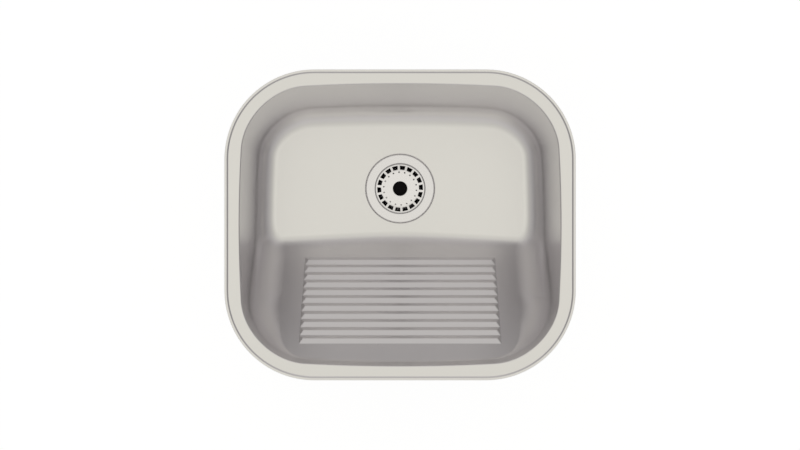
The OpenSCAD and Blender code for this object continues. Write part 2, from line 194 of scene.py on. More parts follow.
class Graph:
    """Node tree of a material, a world or a geometry modifier."""

    def __init__(self, tree: Any) -> None:
        """Starts the tree empty."""
        self.tree = tree
        self.tree.nodes.clear()

    @classmethod
    def of(cls, owner: Any) -> "Graph":
        """The graph of a material or a world."""
        owner.use_nodes = True
        return cls(owner.node_tree)

    def node(
        self, kind: str, settings: dict[str, Any] | None = None, inputs: dict[Any, Any] | None = None
    ) -> Any:
        """Adds a node.

        Args:
            kind: the node's type name.
            settings: its properties by name; "stops" holds a ramp's positions and colours.
            inputs: its inputs by name or number; a socket is linked, anything else is set as a constant.

        Returns:
            The node.
        """
        node = self.tree.nodes.new(kind)
        for key, value in (settings or {}).items():
            if key == "stops":
                self.set_stops(node.color_ramp.elements, value)
            else:
                setattr(node, key, value)
        for key, value in (inputs or {}).items():
            source = value.socket if isinstance(value, Num) else value
            if isinstance(source, bpy.types.NodeSocket):
                self.tree.links.new(source, node.inputs[key])
            else:
                node.inputs[key].default_value = source
        return node

    @staticmethod
    def set_stops(elements: Any, stops: Sequence[tuple[float, Sequence[float]]]) -> None:
        """Fills a ramp.

        Args:
            elements: the ramp's elements, two to start with.
            stops: position and colour of each stop, in order.
        """
        while len(elements) < len(stops):
            elements.new(0.5)
        for element, (position, color) in zip(elements, stops):
            element.position = position
            element.color = (*color, 1.0)

    def number(self, socket: Any) -> Num:
        """Wraps a socket for use in expressions."""
        return Num(self, socket)

    def place(self, scale: Sequence[float] = (1.0, 1.0, 1.0)) -> Any:
        """Object coordinates in metres, stretched by scale."""
        inputs = {"Vector": self.node("ShaderNodeTexCoord").outputs["Object"], "Scale": tuple(scale)}
        return self.node("ShaderNodeMapping", None, inputs).outputs["Vector"]

    def noise(self, place: Any, scale: float, detail: float = 3.0, rough: float = 0.5) -> Num:
        """Cloudy noise from 0 to 1."""
        inputs = {"Vector": place, "Scale": scale, "Detail": detail, "Roughness": rough}
        return self.number(self.node("ShaderNodeTexNoise", None, inputs).outputs["Fac"])

    def cells(self, place: Any, scale: float, feature: str = "F1", output: str = "Distance") -> Any:
        """Cell noise: distances or colours of scattered cells."""
        inputs = {"Vector": place, "Scale": scale}
        return self.node("ShaderNodeTexVoronoi", {"feature": feature}, inputs).outputs[output]

    def blend(self, factor: Any, first: Any, second: Sequence[float]) -> Any:
        """Mixes two colours.

        Args:
            factor: share of the second colour.
            first: linear RGB, or a colour's socket.
            second: linear RGB.

        Returns:
            The mixed colour's socket.
        """
        start = first if isinstance(first, bpy.types.NodeSocket) else (*first, 1.0)
        inputs = {0: factor, 6: start, 7: (*second, 1.0)}
        return self.node("ShaderNodeMix", {"data_type": "RGBA"}, inputs).outputs[2]

    def axes(self, place: Any) -> list[Num]:
        """X, Y and Z of a place."""
        outputs = self.node("ShaderNodeSeparateXYZ", None, {0: place}).outputs
        return [self.number(outputs[i]) for i in range(3)]

    def channels(self, color: Any) -> list[Num]:
        """Red, green and blue of a colour."""
        outputs = self.node("ShaderNodeSeparateColor", None, {0: color}).outputs
        return [self.number(outputs[i]) for i in range(3)]

    def bump(self, height: Any, distance: float, strength: float = 1.0) -> Any:
        """Normal of a height pattern; distance is its depth in metres."""
        inputs = {"Height": height, "Distance": distance, "Strength": strength}
        return self.node("ShaderNodeBump", None, inputs).outputs["Normal"]

    def principled(self, **inputs: Any) -> None:
        """Closes a material with one Principled shader.

        Args:
            **inputs: its inputs; underscores in the names stand for spaces.
        """
        named = {key.replace("_", " "): value for key, value in inputs.items()}
        shader = self.node("ShaderNodeBsdfPrincipled", None, named)
        self.node("ShaderNodeOutputMaterial", None, {"Surface": shader.outputs[0]})


def scaled(color: Sequence[float], factor: float) -> tuple[float, ...]:
    """A colour times a factor, kept within 0 and 1."""
    return tuple(min(max(channel * factor, 0.0), 1.0) for channel in color)


@dataclass(frozen=True)
class Finish:
    """A surface finish that makes its own material.

    Attributes:
        name: the material's name.
        color: linear RGB of the clean surface.
        roughness: its mean roughness.
    """

    name: str
    color: tuple[float, float, float]
    roughness: float

    def material(self) -> bpy.types.Material:
        """Makes the node material.

        Returns:
            The material, named as the finish.
        """
        material = bpy.data.materials.new(self.name)
        self.shade(Graph.of(material))
        return material

    def shade(self, graph: Graph) -> None:
        """Fills the material's node tree."""
        raise NotImplementedError


@dataclass(frozen=True)
class Metal(Finish):
    """Ground or polished metal with a fine grain along one direction, faint clouds from handling and optional
    painted light.

    Attributes:
        grain_size: scale of the grain noise.
        stretch: how the grain is stretched along X, Y and Z.
        grain: spread of the roughness through the grain.
        relief: depth of the grain in metres.
        cloud: spread of the colour through the clouds.
        cloud_size: scale of the cloud noise.
        cloud_rough: spread of the roughness through the clouds.
        painted_sheen: how much brighter the metal is painted near the drain's axis, where the basket lies, as
            a painted sheen.
        painted_sheen_reach: distances in metres from the drain's axis between which the painted sheen fades.
        painted_shade_z: height in metres of the step that the basket's lip hangs over, where shade is
            painted.
        painted_shade_r: distance in metres of that step's open part from the drain's axis.
        mark: how much darker the metal is painted there, as painted shade in the gap under the basket's lip.
        painted_shade_reach: how far the painted shade reaches in radius and height, in metres.
    """

    grain_size: float = 900.0
    stretch: tuple[float, float, float] = (0.06, 1.0, 1.0)
    grain: float = 0.05
    relief: float = 0.0000015
    cloud: float = 0.02
    cloud_size: float = 11.0
    cloud_rough: float = 0.06
    # Painted sheen: lighter colour near the drain's axis, where the basket lies.
    painted_sheen: float = 0.0
    painted_sheen_reach: tuple[float, float] = (0.0385, 0.0415)
    # Painted shade in the gap under the basket's lip: where it lies, how dark it is and how far it reaches.
    painted_shade_z: float = 0.0
    painted_shade_r: float = 0.04085
    mark: float = 0.0
    painted_shade_reach: tuple[float, float] = (0.0007, 0.0012)

    def shade(self, graph: Graph) -> None:
        """Fills the tree.

        Args:
            graph: the material's graph, empty.
        """
        grain = graph.noise(graph.place(self.stretch), self.grain_size, 2.0)
        cloud = graph.noise(graph.place(), self.cloud_size, 3.0)
        # dark holds the painted shade and bright the painted sheen, besides the handling clouds.
        dark = scaled(self.color, 1 - self.cloud - self.mark)
        bright = scaled(self.color, 1 + self.cloud + self.painted_sheen)
        graph.principled(
            Base_Color=graph.blend(self.tone(graph, cloud), dark, bright),
            Metallic=1.0,
            Roughness=self.roughness + self.grain * (grain - 0.5) + self.cloud_rough * (cloud - 0.5),
            Normal=graph.bump(grain, self.relief),
        )

    def tone(self, graph: Graph, cloud: Num) -> Num:
        """Tells how bright the metal is at each place.

        Args:
            graph: the material's graph.
            cloud: the handling clouds, from 0 to 1.

        Returns:
            The tone, 0 in the painted shade of the basket's gap and up to 1 in the painted sheen near the
            drain's axis.
        """
        spread = 2 * self.cloud + self.painted_sheen + self.mark
        tone = (self.mark + 2 * self.cloud * cloud) / spread
        if self.painted_sheen:
            x, y, z = graph.axes(graph.place())
            away = x * x + (y - DRAIN_Y * MM) ** 2.0
            away = away.math("SQRT", away)
            # Painted sheen: lighter tone near the drain's axis.
            tone = tone + (self.painted_sheen / spread) * (1.0 - away.step(*self.painted_sheen_reach))
            # Painted shade: darker tone in the gap where the basket's lip hangs over the step; seat is its
            # mask.
            reach_r, reach_z = self.painted_shade_reach
            seat = (z - self.painted_shade_z).near(reach_z) * (away - self.painted_shade_r).near(reach_r)
            tone = tone - (self.mark / spread) * seat
        return tone


@dataclass(frozen=True)
class Plated(Finish):
    """Zinc-coated steel with spangles, or with the yellow tint of passivated plating.

    Attributes:
        tint: linear RGB of the second tone.
        spangle: scale of the crystal cells.
        facets: share of the crystals in the colour; the rest is dust.
        facet_rough: spread of the roughness from crystal to crystal.
        dust_size: scale of the dust.
        dust_rough: spread of the roughness through it.
        relief: depth of the dust in metres.
    """

    tint: tuple[float, float, float] = (0.6, 0.6, 0.6)
    spangle: float = 260.0
    facets: float = 0.7
    facet_rough: float = 0.12
    dust_size: float = 700.0
    dust_rough: float = 0.1
    relief: float = 0.000004

    def shade(self, graph: Graph) -> None:
        """Fills the tree.

        Args:
            graph: the material's graph, empty.
        """
        facet = graph.channels(graph.cells(graph.place(), self.spangle, output="Color"))[0]
        dust = graph.noise(graph.place(), self.dust_size, 4.0)
        graph.principled(
            Base_Color=graph.blend(self.facets * facet + (1 - self.facets) * dust, self.color, self.tint),
            Metallic=1.0,
            Roughness=self.roughness + self.facet_rough * (facet - 0.5) + self.dust_rough * (dust - 0.5),
            Normal=graph.bump(dust, self.relief),
        )


@dataclass(frozen=True)
class Moulded(Finish):
    """Moulded plastic or rubber with a fine grain.

    Attributes:
        grain_size: scale of the grain.
        relief: depth of the grain in metres.
        dust: how much lighter the worn grain is.
        cloud_size: scale of the worn patches.
        cloud_rough: spread of the roughness through them.
        shine: strength of its mirror image, 0.5 for common plastic.
    """

    grain_size: float = 1500.0
    relief: float = 0.00001
    dust: float = 0.02
    cloud_size: float = 60.0
    cloud_rough: float = 0.15
    shine: float = 0.5

    def shade(self, graph: Graph) -> None:
        """Fills the tree.

        Args:
            graph: the material's graph, empty.
        """
        grain = graph.noise(graph.place(), self.grain_size, 3.0)
        cloud = graph.noise(graph.place(), self.cloud_size, 4.0)
        lighter = tuple(channel + self.dust for channel in self.color)
        graph.principled(
            Base_Color=graph.blend(cloud * grain, self.color, lighter),
            Roughness=self.roughness + self.cloud_rough * (cloud - 0.5),
            Specular_IOR_Level=self.shine,
            Normal=graph.bump(grain, self.relief),
        )


@dataclass(frozen=True)
class Cellular(Finish):
    """Closed-cell foam or a pressed pad: cells or dimples over the whole face.

    Attributes:
        cell: scale of the cells.
        relief: depth of the cells in metres.
        pale: linear RGB of the cell walls.
        dust_size: scale of the dust on them.
        dust_rough: spread of the roughness through it.
    """

    cell: float = 900.0
    relief: float = 0.0002
    pale: tuple[float, float, float] = (0.08, 0.08, 0.08)
    dust_size: float = 300.0
    dust_rough: float = 0.1

    def shade(self, graph: Graph) -> None:
        """Fills the tree.

        Args:
            graph: the material's graph, empty.
        """
        pits = graph.number(graph.cells(graph.place(), self.cell))
        dust = graph.noise(graph.place(), self.dust_size, 4.0)
        graph.principled(
            Base_Color=graph.blend(dust * pits.step(0.1, 0.6), self.color, self.pale),
            Roughness=self.roughness + self.dust_rough * (dust - 0.5),
            Normal=graph.bump(pits.step(0.05, 0.55), self.relief),
        )


@dataclass(frozen=True)
class Fibre(Finish):
    """Pressed paper fibre with short strands and flecks.

    Attributes:
        fleck: linear RGB of the dark flecks.
        strand_sizes: scales of the strands along X and along Y.
        strand_rough: spread of the roughness through them.
        relief: depth of the mat in metres.
    """

    fleck: tuple[float, float, float] = (0.25, 0.18, 0.1)
    strand_sizes: tuple[float, float] = (900.0, 800.0)
    strand_rough: float = 0.1
    relief: float = 0.0001

    def shade(self, graph: Graph) -> None:
        """Fills the tree.

        Args:
            graph: the material's graph, empty.
        """
        strands = graph.noise(graph.place((1.0, 0.15, 1.0)), self.strand_sizes[0], 5.0, 0.7)
        across = graph.noise(graph.place((0.15, 1.0, 1.0)), self.strand_sizes[1], 5.0, 0.7)
        mat = strands * across
        graph.principled(
            Base_Color=graph.blend(mat.step(0.18, 0.42), self.fleck, self.color),
            Roughness=self.roughness + self.strand_rough * (strands - 0.5),
            Normal=graph.bump(mat, self.relief),
        )


FINISHES: dict[Slot, Finish] = {
    Slot.SHEET: Metal("satin_sheet", (0.845, 0.831, 0.838), 0.3),
    Slot.POLISHED: Metal(
        "polished_sheet",
        (0.826, 0.81, 0.84),
        0.14,
        grain=0.03,
        relief=0.0000004,
        cloud=0.01,
        # painted sheen near the drain's axis
        painted_sheen=0.05,
        # painted shade in the gap under the basket's lip
        painted_shade_z=-0.2138,
        mark=0.5,
    ),
    Slot.GALVANISED: Plated("galvanised_steel", (0.42, 0.43, 0.44), 0.38, tint=(0.62, 0.63, 0.64)),
    Slot.ZINC: Plated("zinc_plate", (0.58, 0.56, 0.5), 0.3, tint=(0.68, 0.64, 0.54), spangle=900.0),
    Slot.PLASTIC: Moulded("black_plastic", (0.003, 0.002, 0.003), 0.3, dust=0.002, shine=0.06),
    Slot.RUBBER: Moulded("black_rubber", (0.018, 0.018, 0.018), 0.62, relief=0.00002),
    Slot.FOAM: Cellular("closed_cell_foam", (0.022, 0.022, 0.024), 0.85),
    Slot.DAMPING: Cellular(
        "damping_pad", (0.03, 0.03, 0.032), 0.7, cell=170.0, relief=0.0006, pale=(0.06, 0.06, 0.062)
    ),
    Slot.FIBRE: Fibre("pressed_fibre", (0.5, 0.42, 0.27), 0.8),
}


# Meshes


class Draft:
    """Points, normals and faces of one mesh, in millimetres."""

    def __init__(self) -> None:
        """Starts empty."""
        self.points: list[Array] = []
        self.normals: list[Array] = []
        self.faces: list[tuple[int, ...]] = []
        self.count = 0

    def add(self, points: Array, normals: Array | None = None) -> Array:
        """Adds points.

        Args:
            points: rows of x, y, z.
            normals: their outward normals, where they are known.

        Returns:
            The points' numbers.
        """
        points = np.atleast_2d(np.asarray(points, float))
        self.points.append(points)
        self.normals.append(np.zeros_like(points) if normals is None else np.atleast_2d(normals))
        first = self.count
        self.count += len(points)
        return np.arange(first, self.count)

    def strip(self, first: Array, second: Array, closed: bool = True) -> None:
        """Joins two rows of points with quads, or with triangles where one row is a single pole.

        Args:
            first: the numbers of the first row.
            second: the numbers of the second row.
            closed: whether the rows close into rings.
        """
        size = max(len(first), len(second))
        for i in range(size if closed else size - 1):
            j = (i + 1) % size
            if len(first) == 1:
                self.faces.append((int(first[0]), int(second[i]), int(second[j])))
            elif len(second) == 1:
                self.faces.append((int(first[i]), int(second[0]), int(first[j])))
            else:
                self.faces.append((int(first[i]), int(second[i]), int(second[j]), int(first[j])))

    def strips(self, rows: Sequence[Array], closed: bool = True) -> None:
        """Joins each row of points with the next."""
        for first, second in zip(rows, rows[1:]):
            self.strip(first, second, closed)

    def fill(self, numbers: Array, triangles: Array) -> None:
        """Adds triangles, given by places in a list of points' numbers."""
        self.faces += [tuple(int(number) for number in face) for face in numbers[triangles]]

    def object(self, name: str) -> bpy.types.Object:
        """Makes the object, in metres, with faces that agree with the normals given.

        Args:
            name: the object's and the mesh's name.

        Returns:
            The new object.
        """
        points = np.concatenate(self.points) * MM
        normals = np.concatenate(self.normals)
        mesh = bpy.data.meshes.new(name)
        if np.any(normals):
            self.faces = self.turned(points, normals)
        mesh.from_pydata(points, [], self.faces)
        mesh.validate()
        obj = bpy.data.objects.new(name, mesh)
        bpy.context.scene.collection.objects.link(obj)
        if np.any(normals):
            mesh.shade_smooth()
            mesh.normals_split_custom_set_from_vertices(normals)
        else:
            outward(mesh)
        return obj

    def turned(self, points: Array, normals: Array) -> list[tuple[int, ...]]:
        """Turns the faces so that they look the way their points' normals do.

        Args:
            points: all the points.
            normals: their normals.

        Returns:
            The faces, turned.
        """
        corner = np.array([face[:3] for face in self.faces])
        a, b, c = points[corner[:, 0]], points[corner[:, 1]], points[corner[:, 2]]
        if any(len(face) == 4 for face in self.faces):
            last = np.array([face[-1] for face in self.faces])
            facing = np.cross(c - a, points[last] - b) + np.cross(b - a, c - a)
        else:
            facing = np.cross(b - a, c - a)
        mean = normals[corner].sum(axis=1)
        good = np.einsum("ij,ij->i", facing, mean) >= 0
        return [face if keep else face[::-1] for face, keep in zip(self.faces, good)]


def unit(vectors: Array) -> Array:
    """The vectors at length 1."""
    return vectors / np.linalg.norm(vectors, axis=-1, keepdims=True)


def raised(flat: Array, z: Any) -> Array:
    """Rows of x, y with one height, or with each its own."""
    return np.column_stack([flat, np.broadcast_to(z, len(flat))])


def outward(mesh: bpy.types.Mesh) -> None:
    """Turns a closed mesh's faces outwards.

    Args:
        mesh: the mesh, changed in place.
    """
    work = bmesh.new()
    work.from_mesh(mesh)
    bmesh.ops.recalc_face_normals(work, faces=work.faces)
    work.to_mesh(mesh)
    work.free()


def loft(name: str, rings: Sequence[Array], closed: bool) -> bpy.types.Object:
    """Joins rings of points into a solid.

    Args:
        name: the object's name.
        rings: rows of points; a row of one point is a pole.
        closed: whether the last ring joins the first.

    Returns:
        The new object.
    """
    draft = Draft()
    rows = [draft.add(ring) for ring in rings]
    draft.strips(rows)
    if closed:
        draft.strip(rows[-1], rows[0])
    return draft.object(name)


def softened(
    profile: Profile, radius: float, steps: int = 3, closed: bool = True
) -> list[tuple[float, float]]:
    """Rounds a profile's corners.

    Args:
        profile: points (r, z).
        radius: distance from each corner at which its rounding starts.
        steps: pieces of each rounding.
        closed: whether the profile comes back to its start.

    Returns:
        The finer profile.
    """
    points = [np.array(point, float) for point in profile]
    result: list[tuple[float, float]] = []
    size = len(points)
    for i, point in enumerate(points):
        if not closed and i in (0, size - 1):
            result.append((float(point[0]), float(point[1])))
            continue
        before, after = points[i - 1] - point, points[(i + 1) % size] - point
        reach = min(radius, 0.45 * np.linalg.norm(before), 0.45 * np.linalg.norm(after))
        start = point + before / np.linalg.norm(before) * reach
        end = point + after / np.linalg.norm(after) * reach
        for t in np.linspace(0, 1, steps + 1):
            spot = (1 - t) ** 2 * start + 2 * t * (1 - t) * point + t * t * end
            result.append((float(spot[0]), float(spot[1])))
    return result


def polar(radius: Any, angle: Array, z: Any, centre: Sequence[float] = (0.0, 0.0)) -> Array:
    """Points given by their radius and angle about an upright axis.

    Args:
        radius: one radius, or one for each point.
        angle: the points' angles.
        z: one height, or one for each point.
        centre: x and y of the axis.

    Returns:
        Rows of x, y, z.
    """
    x, y = centre[0] + radius * np.cos(angle), centre[1] + radius * np.sin(angle)
    return np.column_stack([x, y, np.broadcast_to(z, x.shape)])


def around(count: int) -> Array:
    """Angles that share a whole turn."""
    return np.arange(count) * FULL_TURN / count


def circle(radius: float, z: float, count: int, centre: Sequence[float] = (0.0, 0.0)) -> Array:
    """A level ring of points, or one point where the radius is 0."""
    at_pole = radius < 1e-6
    return polar(radius, around(1 if at_pole else count), z, centre)


def hexagon(flat: float, z: float, count: int, centre: Sequence[float], turn: float = 0.0) -> Array:
    """Makes a level ring on a hexagon.

    Args:
        flat: half the width across its flats.
        z: its height.
        count: how many points it has.
        centre: x and y of its centre.
        turn: its turn about the centre.

    Returns:
        Rows of x, y, z.
    """
    angle = around(count)
    radius = flat / np.cos((angle % (math.pi / 3)) - math.pi / 6)
    return polar(radius, angle + turn, z, centre)


def threaded(
    points: Array, centre: Sequence[float], low: float, high: float, pitch: float, depth: float
) -> Array:
    """Cuts a helical thread into the points between two heights.

    Args:
        points: rows of x, y, z on a round wall.
        centre: the wall's axis.
        low: lower end of the thread.
        high: upper end of the thread.
        pitch: climb of one turn.
        depth: depth of the groove.

    Returns:
        The moved points.
    """
    across = points[:, :2] - np.array(centre)
    radius = np.linalg.norm(across, axis=1)
    angle = np.arctan2(across[:, 1], across[:, 0])
    height = points[:, 2]
    wave = 0.5 - 0.5 * np.cos(FULL_TURN * height / pitch - angle)
    fade = np.clip((height - low) / pitch, 0, 1) * np.clip((high - height) / pitch, 0, 1)
    moved = points.copy()
    moved[:, :2] = np.array(centre) + across * (1 - depth * wave * fade / radius)[:, None]
    return moved


def levels(radius: float, top: float, bottom: float, step: float) -> list[tuple[float, float]]:
    """Profile points down a straight wall, about step apart."""
    return [(radius, z) for z in np.linspace(top, bottom, max(2, round(abs(top - bottom) / step) + 1))]


def smooth_edges(obj: bpy.types.Object, angle: float = 38.0) -> bpy.types.Object:
    """Shades smoothly, with normals weighted by face size.

    Args:
        obj: the object.
        angle: degrees above which an edge stays sharp.

    Returns:
        The same object.
    """
    obj.data.shade_smooth()
    obj.data.set_sharp_from_angle(angle=math.radians(angle))
    weighted = obj.modifiers.new("weighted", "WEIGHTED_NORMAL")
    weighted.keep_sharp = True
    return obj


def frozen(obj: bpy.types.Object) -> bpy.types.Object:
    """Turns an object with modifiers into a plain mesh.

    Args:
        obj: the object.

    Returns:
        The same object, without modifiers.
    """
    bpy.context.view_layer.update()
    evaluated = obj.evaluated_get(bpy.context.evaluated_depsgraph_get())
    mesh = bpy.data.meshes.new_from_object(evaluated)
    obj.modifiers.clear()
    obj.data = mesh
    return obj


def around_axis(
    obj: bpy.types.Object, count: int, centre: Sequence[float], material: bpy.types.Material
) -> bpy.types.Object:
    """Repeats a sector about an upright axis with Geometry Nodes and welds the seams.

    Args:
        obj: the sector.
        count: how many sectors fill the circle.
        centre: x and y of the axis, in millimetres.
        material: the finish of the whole circle.

    Returns:
        The same object with the whole circle as a plain mesh.
    """
    tree = bpy.data.node_groups.new("around_axis", "GeometryNodeTree")
    graph = Graph(tree)
    tree.interface.new_socket("Sector", in_out="INPUT", socket_type="NodeSocketGeometry")
    tree.interface.new_socket("Circle", in_out="OUTPUT", socket_type="NodeSocketGeometry")
    inputs = (
        ("Count", "NodeSocketInt", count),
        ("Axis", "NodeSocketVector", (centre[0] * MM, centre[1] * MM, 0.0)),
        ("Weld", "NodeSocketFloat", 0.00001),
        ("Finish", "NodeSocketMaterial", material),
    )
    values = {}
    for name, kind, value in inputs:
        socket = tree.interface.new_socket(name, in_out="INPUT", socket_type=kind)
        values[socket.identifier] = value

    def step(kind: str, settings: dict[str, Any] | None = None, **inputs: Any) -> Any:
        """Adds a node and gives its first output; underscores in the inputs' names stand for spaces."""
        named = {key.replace("_", " "): value for key, value in inputs.items()}
        return graph.node(kind, settings, named).outputs[0]

    entry = graph.node("NodeGroupInput").outputs
    share = graph.number(step("GeometryNodeInputIndex")) / entry["Count"]
    spin = step("ShaderNodeCombineXYZ", Z=share * FULL_TURN)
    home = step("ShaderNodeVectorMath", {"operation": "SCALE"}, Vector=entry["Axis"], Scale=-1.0)
    line = step(
        "GeometryNodeMeshLine", Count=entry["Count"], Start_Location=entry["Axis"], Offset=(0.0, 0.0, 0.0)
    )
    centred = step("GeometryNodeTransform", Geometry=entry["Sector"], Translation=home)
    spread = step("GeometryNodeInstanceOnPoints", Points=line, Instance=centred, Rotation=spin)
    real = step("GeometryNodeRealizeInstances", Geometry=spread)
    welded = step("GeometryNodeMergeByDistance", Geometry=real, Distance=entry["Weld"])
    dressed = step("GeometryNodeSetMaterial", Geometry=welded, Material=entry["Finish"])
    graph.node("NodeGroupOutput", None, {0: dressed})

    modifier = obj.modifiers.new("around", "NODES")
    modifier.node_group = tree
    for identifier, value in values.items():
        modifier[identifier] = value
    frozen(obj)
    outward(obj.data)
    return obj


def triangulated(loops: Sequence[Array], inner: Array, keep: Callable[[Array], Array]) -> Array:
    """Fills the plane between loops with triangles.

    Args:
        loops: closed loops of x, y.
        inner: free points between them.
        keep: says of the triangles' centres which triangles stay.

    Returns:
        The numbers of each triangle's points, counted through the loops and then the free points.
    """
    points = np.concatenate([*loops, inner])
    edges = []
    start = 0
    for loop in loops:
        size = len(loop)
        edges += [(start + i, start + (i + 1) % size) for i in range(size)]
        start += size
    coords, _, faces, origin, _, _ = delaunay_2d_cdt([tuple(p) for p in points], edges, [], 0, 1e-5)
    coords = np.array([tuple(c) for c in coords])
    numbers = np.array([source[0] if source else -1 for source in origin])
    faces = np.array([tuple(face) for face in faces])
    return numbers[faces[keep(coords[faces].mean(axis=1))]]


def hex_nut(
    name: str, centre: Sequence[float], low: float, thick: float, flat: float, bore: float, turn: float = 0.0
) -> bpy.types.Object:
    """Makes a hexagon nut with chamfered corners and a countersunk bore.

    Args:
        name: the object's name.
        centre: x and y of its axis.
        low: height of its underside.
        thick: its thickness.
        flat: half the width across its flats.
        bore: radius of its bore.
        turn: its turn about the axis.

    Returns:
        The new object.
    """
    count = 48
    rim = 0.14 * flat

    def chamfered(z: float, trim: float) -> Array:
        """Makes the hexagon with its corners cut back to a circle.

        Args:
            z: its height.
            trim: how much of each corner is cut away.

        Returns:
            The ring.
        """
        ring = hexagon(flat, z, count, centre, turn)
        across = ring[:, :2] - np.array(centre)
        radius = np.linalg.norm(across, axis=1)
        kept = np.minimum(radius, flat / math.cos(math.pi / 6) - trim)
        ring[:, :2] = np.array(centre) + across * (kept / radius)[:, None]
        return ring

    def half(face: float, way: int) -> list[Array]:
        """Makes one half of the nut.

        Args:
            face: height of its face.
            way: 1 for the lower half, -1 for the upper.

        Returns:
            The rings from the bore over the face to the flats.
        """
        return [
            circle(bore, face + 0.3 * way, count, centre),
            circle(bore + 0.3, face, count, centre),
            circle(flat - 0.15, face, count, centre),
            chamfered(face + 0.5 * rim * way, 0.6 * rim),
            chamfered(face + rim * way, 0.0),
        ]

    return smooth_edges(loft(name, half(low, 1) + half(low + thick, -1)[::-1], True), 30)


def inside(points: Array, loop: Array) -> Array:
    """Tells which points lie inside a closed loop.

    Args:
        points: rows of x, y.
        loop: the loop's points in order.

    Returns:
        True or False for each point.
    """
    x, y = points[:, :1], points[:, 1:]
    a, b = loop, np.roll(loop, -1, axis=0)
    crosses = (a[:, 1] > y) != (b[:, 1] > y)
    with np.errstate(divide="ignore", invalid="ignore"):
        where = a[:, 0] + (y - a[:, 1]) * (b[:, 0] - a[:, 0]) / (b[:, 1] - a[:, 1])
    return (crosses & (x < where)).sum(axis=1) % 2 == 1


def apart(points: Array, loop: Array) -> Array:
    """Distance of each point from the nearest point of a loop."""
    return np.sqrt(((points[:, None, :] - loop[None, :, :]) ** 2).sum(axis=2).min(axis=1))


# Sub-assemblies


class Assembly:
    """A group of pieces that knows how to dress and register them."""

    materials: dict[Slot, bpy.types.Material] = {}

    def enter(self, obj: bpy.types.Object, node: str, body: str, slot: Slot) -> bpy.types.Object:
        """Gives a piece its finish, its body and the CAD node that it stands for.

        Args:
            obj: the finished piece.
            node: the CAD node.
            body: the body that it rides on.
            slot: its finish.

        Returns:
            The same object.
        """
        self.dress(obj, slot)
        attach(obj, body)
        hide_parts(node)
        LOG.info("%s: %d faces, for %s on %s", obj.name, len(obj.data.polygons), node, body)
        return obj

    @staticmethod
    def finish(slot: Slot) -> bpy.types.Material:
        """Gives a slot's material, made when it is first asked for.

        Args:
            slot: the slot.

        Returns:
            Its material.
        """
        if slot not in Assembly.materials:
            Assembly.materials[slot] = FINISHES[slot].material()
        return Assembly.materials[slot]

    def dress(self, obj: bpy.types.Object, slot: Slot) -> None:
        """Puts the slot's material on a mesh."""
        obj.data.materials.clear()
        obj.data.materials.append(self.finish(slot))

    def build(self) -> None:
        """Makes every piece of the sub-assembly."""
        raise NotImplementedError


@dataclass
class Outline:
    """Rounded rectangle as a closed ring of points.

    Attributes:
        side: points along each left or right side.
        end: points along the front or back.
        corner: points round each corner.
    """

    side: int = 24
    end: int = 28
    corner: int = 44

    def ring(self, half_w: float, half_d: float, radius: float) -> Array:
        """Makes the ring, anticlockwise from the right side.

        Args:
            half_w: half its width.
            half_d: half its depth.
            radius: radius of its corners.

        Returns:
            Rows of x, y.
        """
        cx, cy = half_w - radius, half_d - radius
        starts = [(half_w, -cy), (cx, half_d), (-half_w, cy), (-cx, -half_d)]
        ends = [(half_w, cy), (-cx, half_d), (-half_w, -cy), (cx, -half_d)]
        centres = [(cx, cy), (-cx, cy), (-cx, -cy), (cx, -cy)]
        parts = []
        for k in range(4):
            t = np.linspace(0, 1, self.end if k % 2 else self.side, endpoint=False)[:, None]
            parts.append((1 - t) * np.array(starts[k]) + t * np.array(ends[k]))
            angle = (k + np.linspace(0, 1, self.corner, endpoint=False)) * math.pi / 2
            parts.append(polar(radius, angle, 0.0, centres[k])[:, :2])
        return np.concatenate(parts)


def smoothstep(value: Array, low: float, high: float) -> Array:
    """0 below low, 1 above high, smooth between them."""
    t = np.clip((value - low) / (high - low), 0, 1)
    return t * t * (3 - 2 * t)


def soft_max(a: Array, b: Array, width: float) -> Array:
    """The larger value, rounded where the two are closer than width."""
    overlap = np.maximum(width - np.abs(a - b), 0) / width
    return np.maximum(a, b) + overlap * overlap * width / 4


def soft_min(a: Array, b: Array, width: float) -> Array:
    """The smaller value, rounded where the two are closer than width."""
    return -soft_max(-a, -b, width)


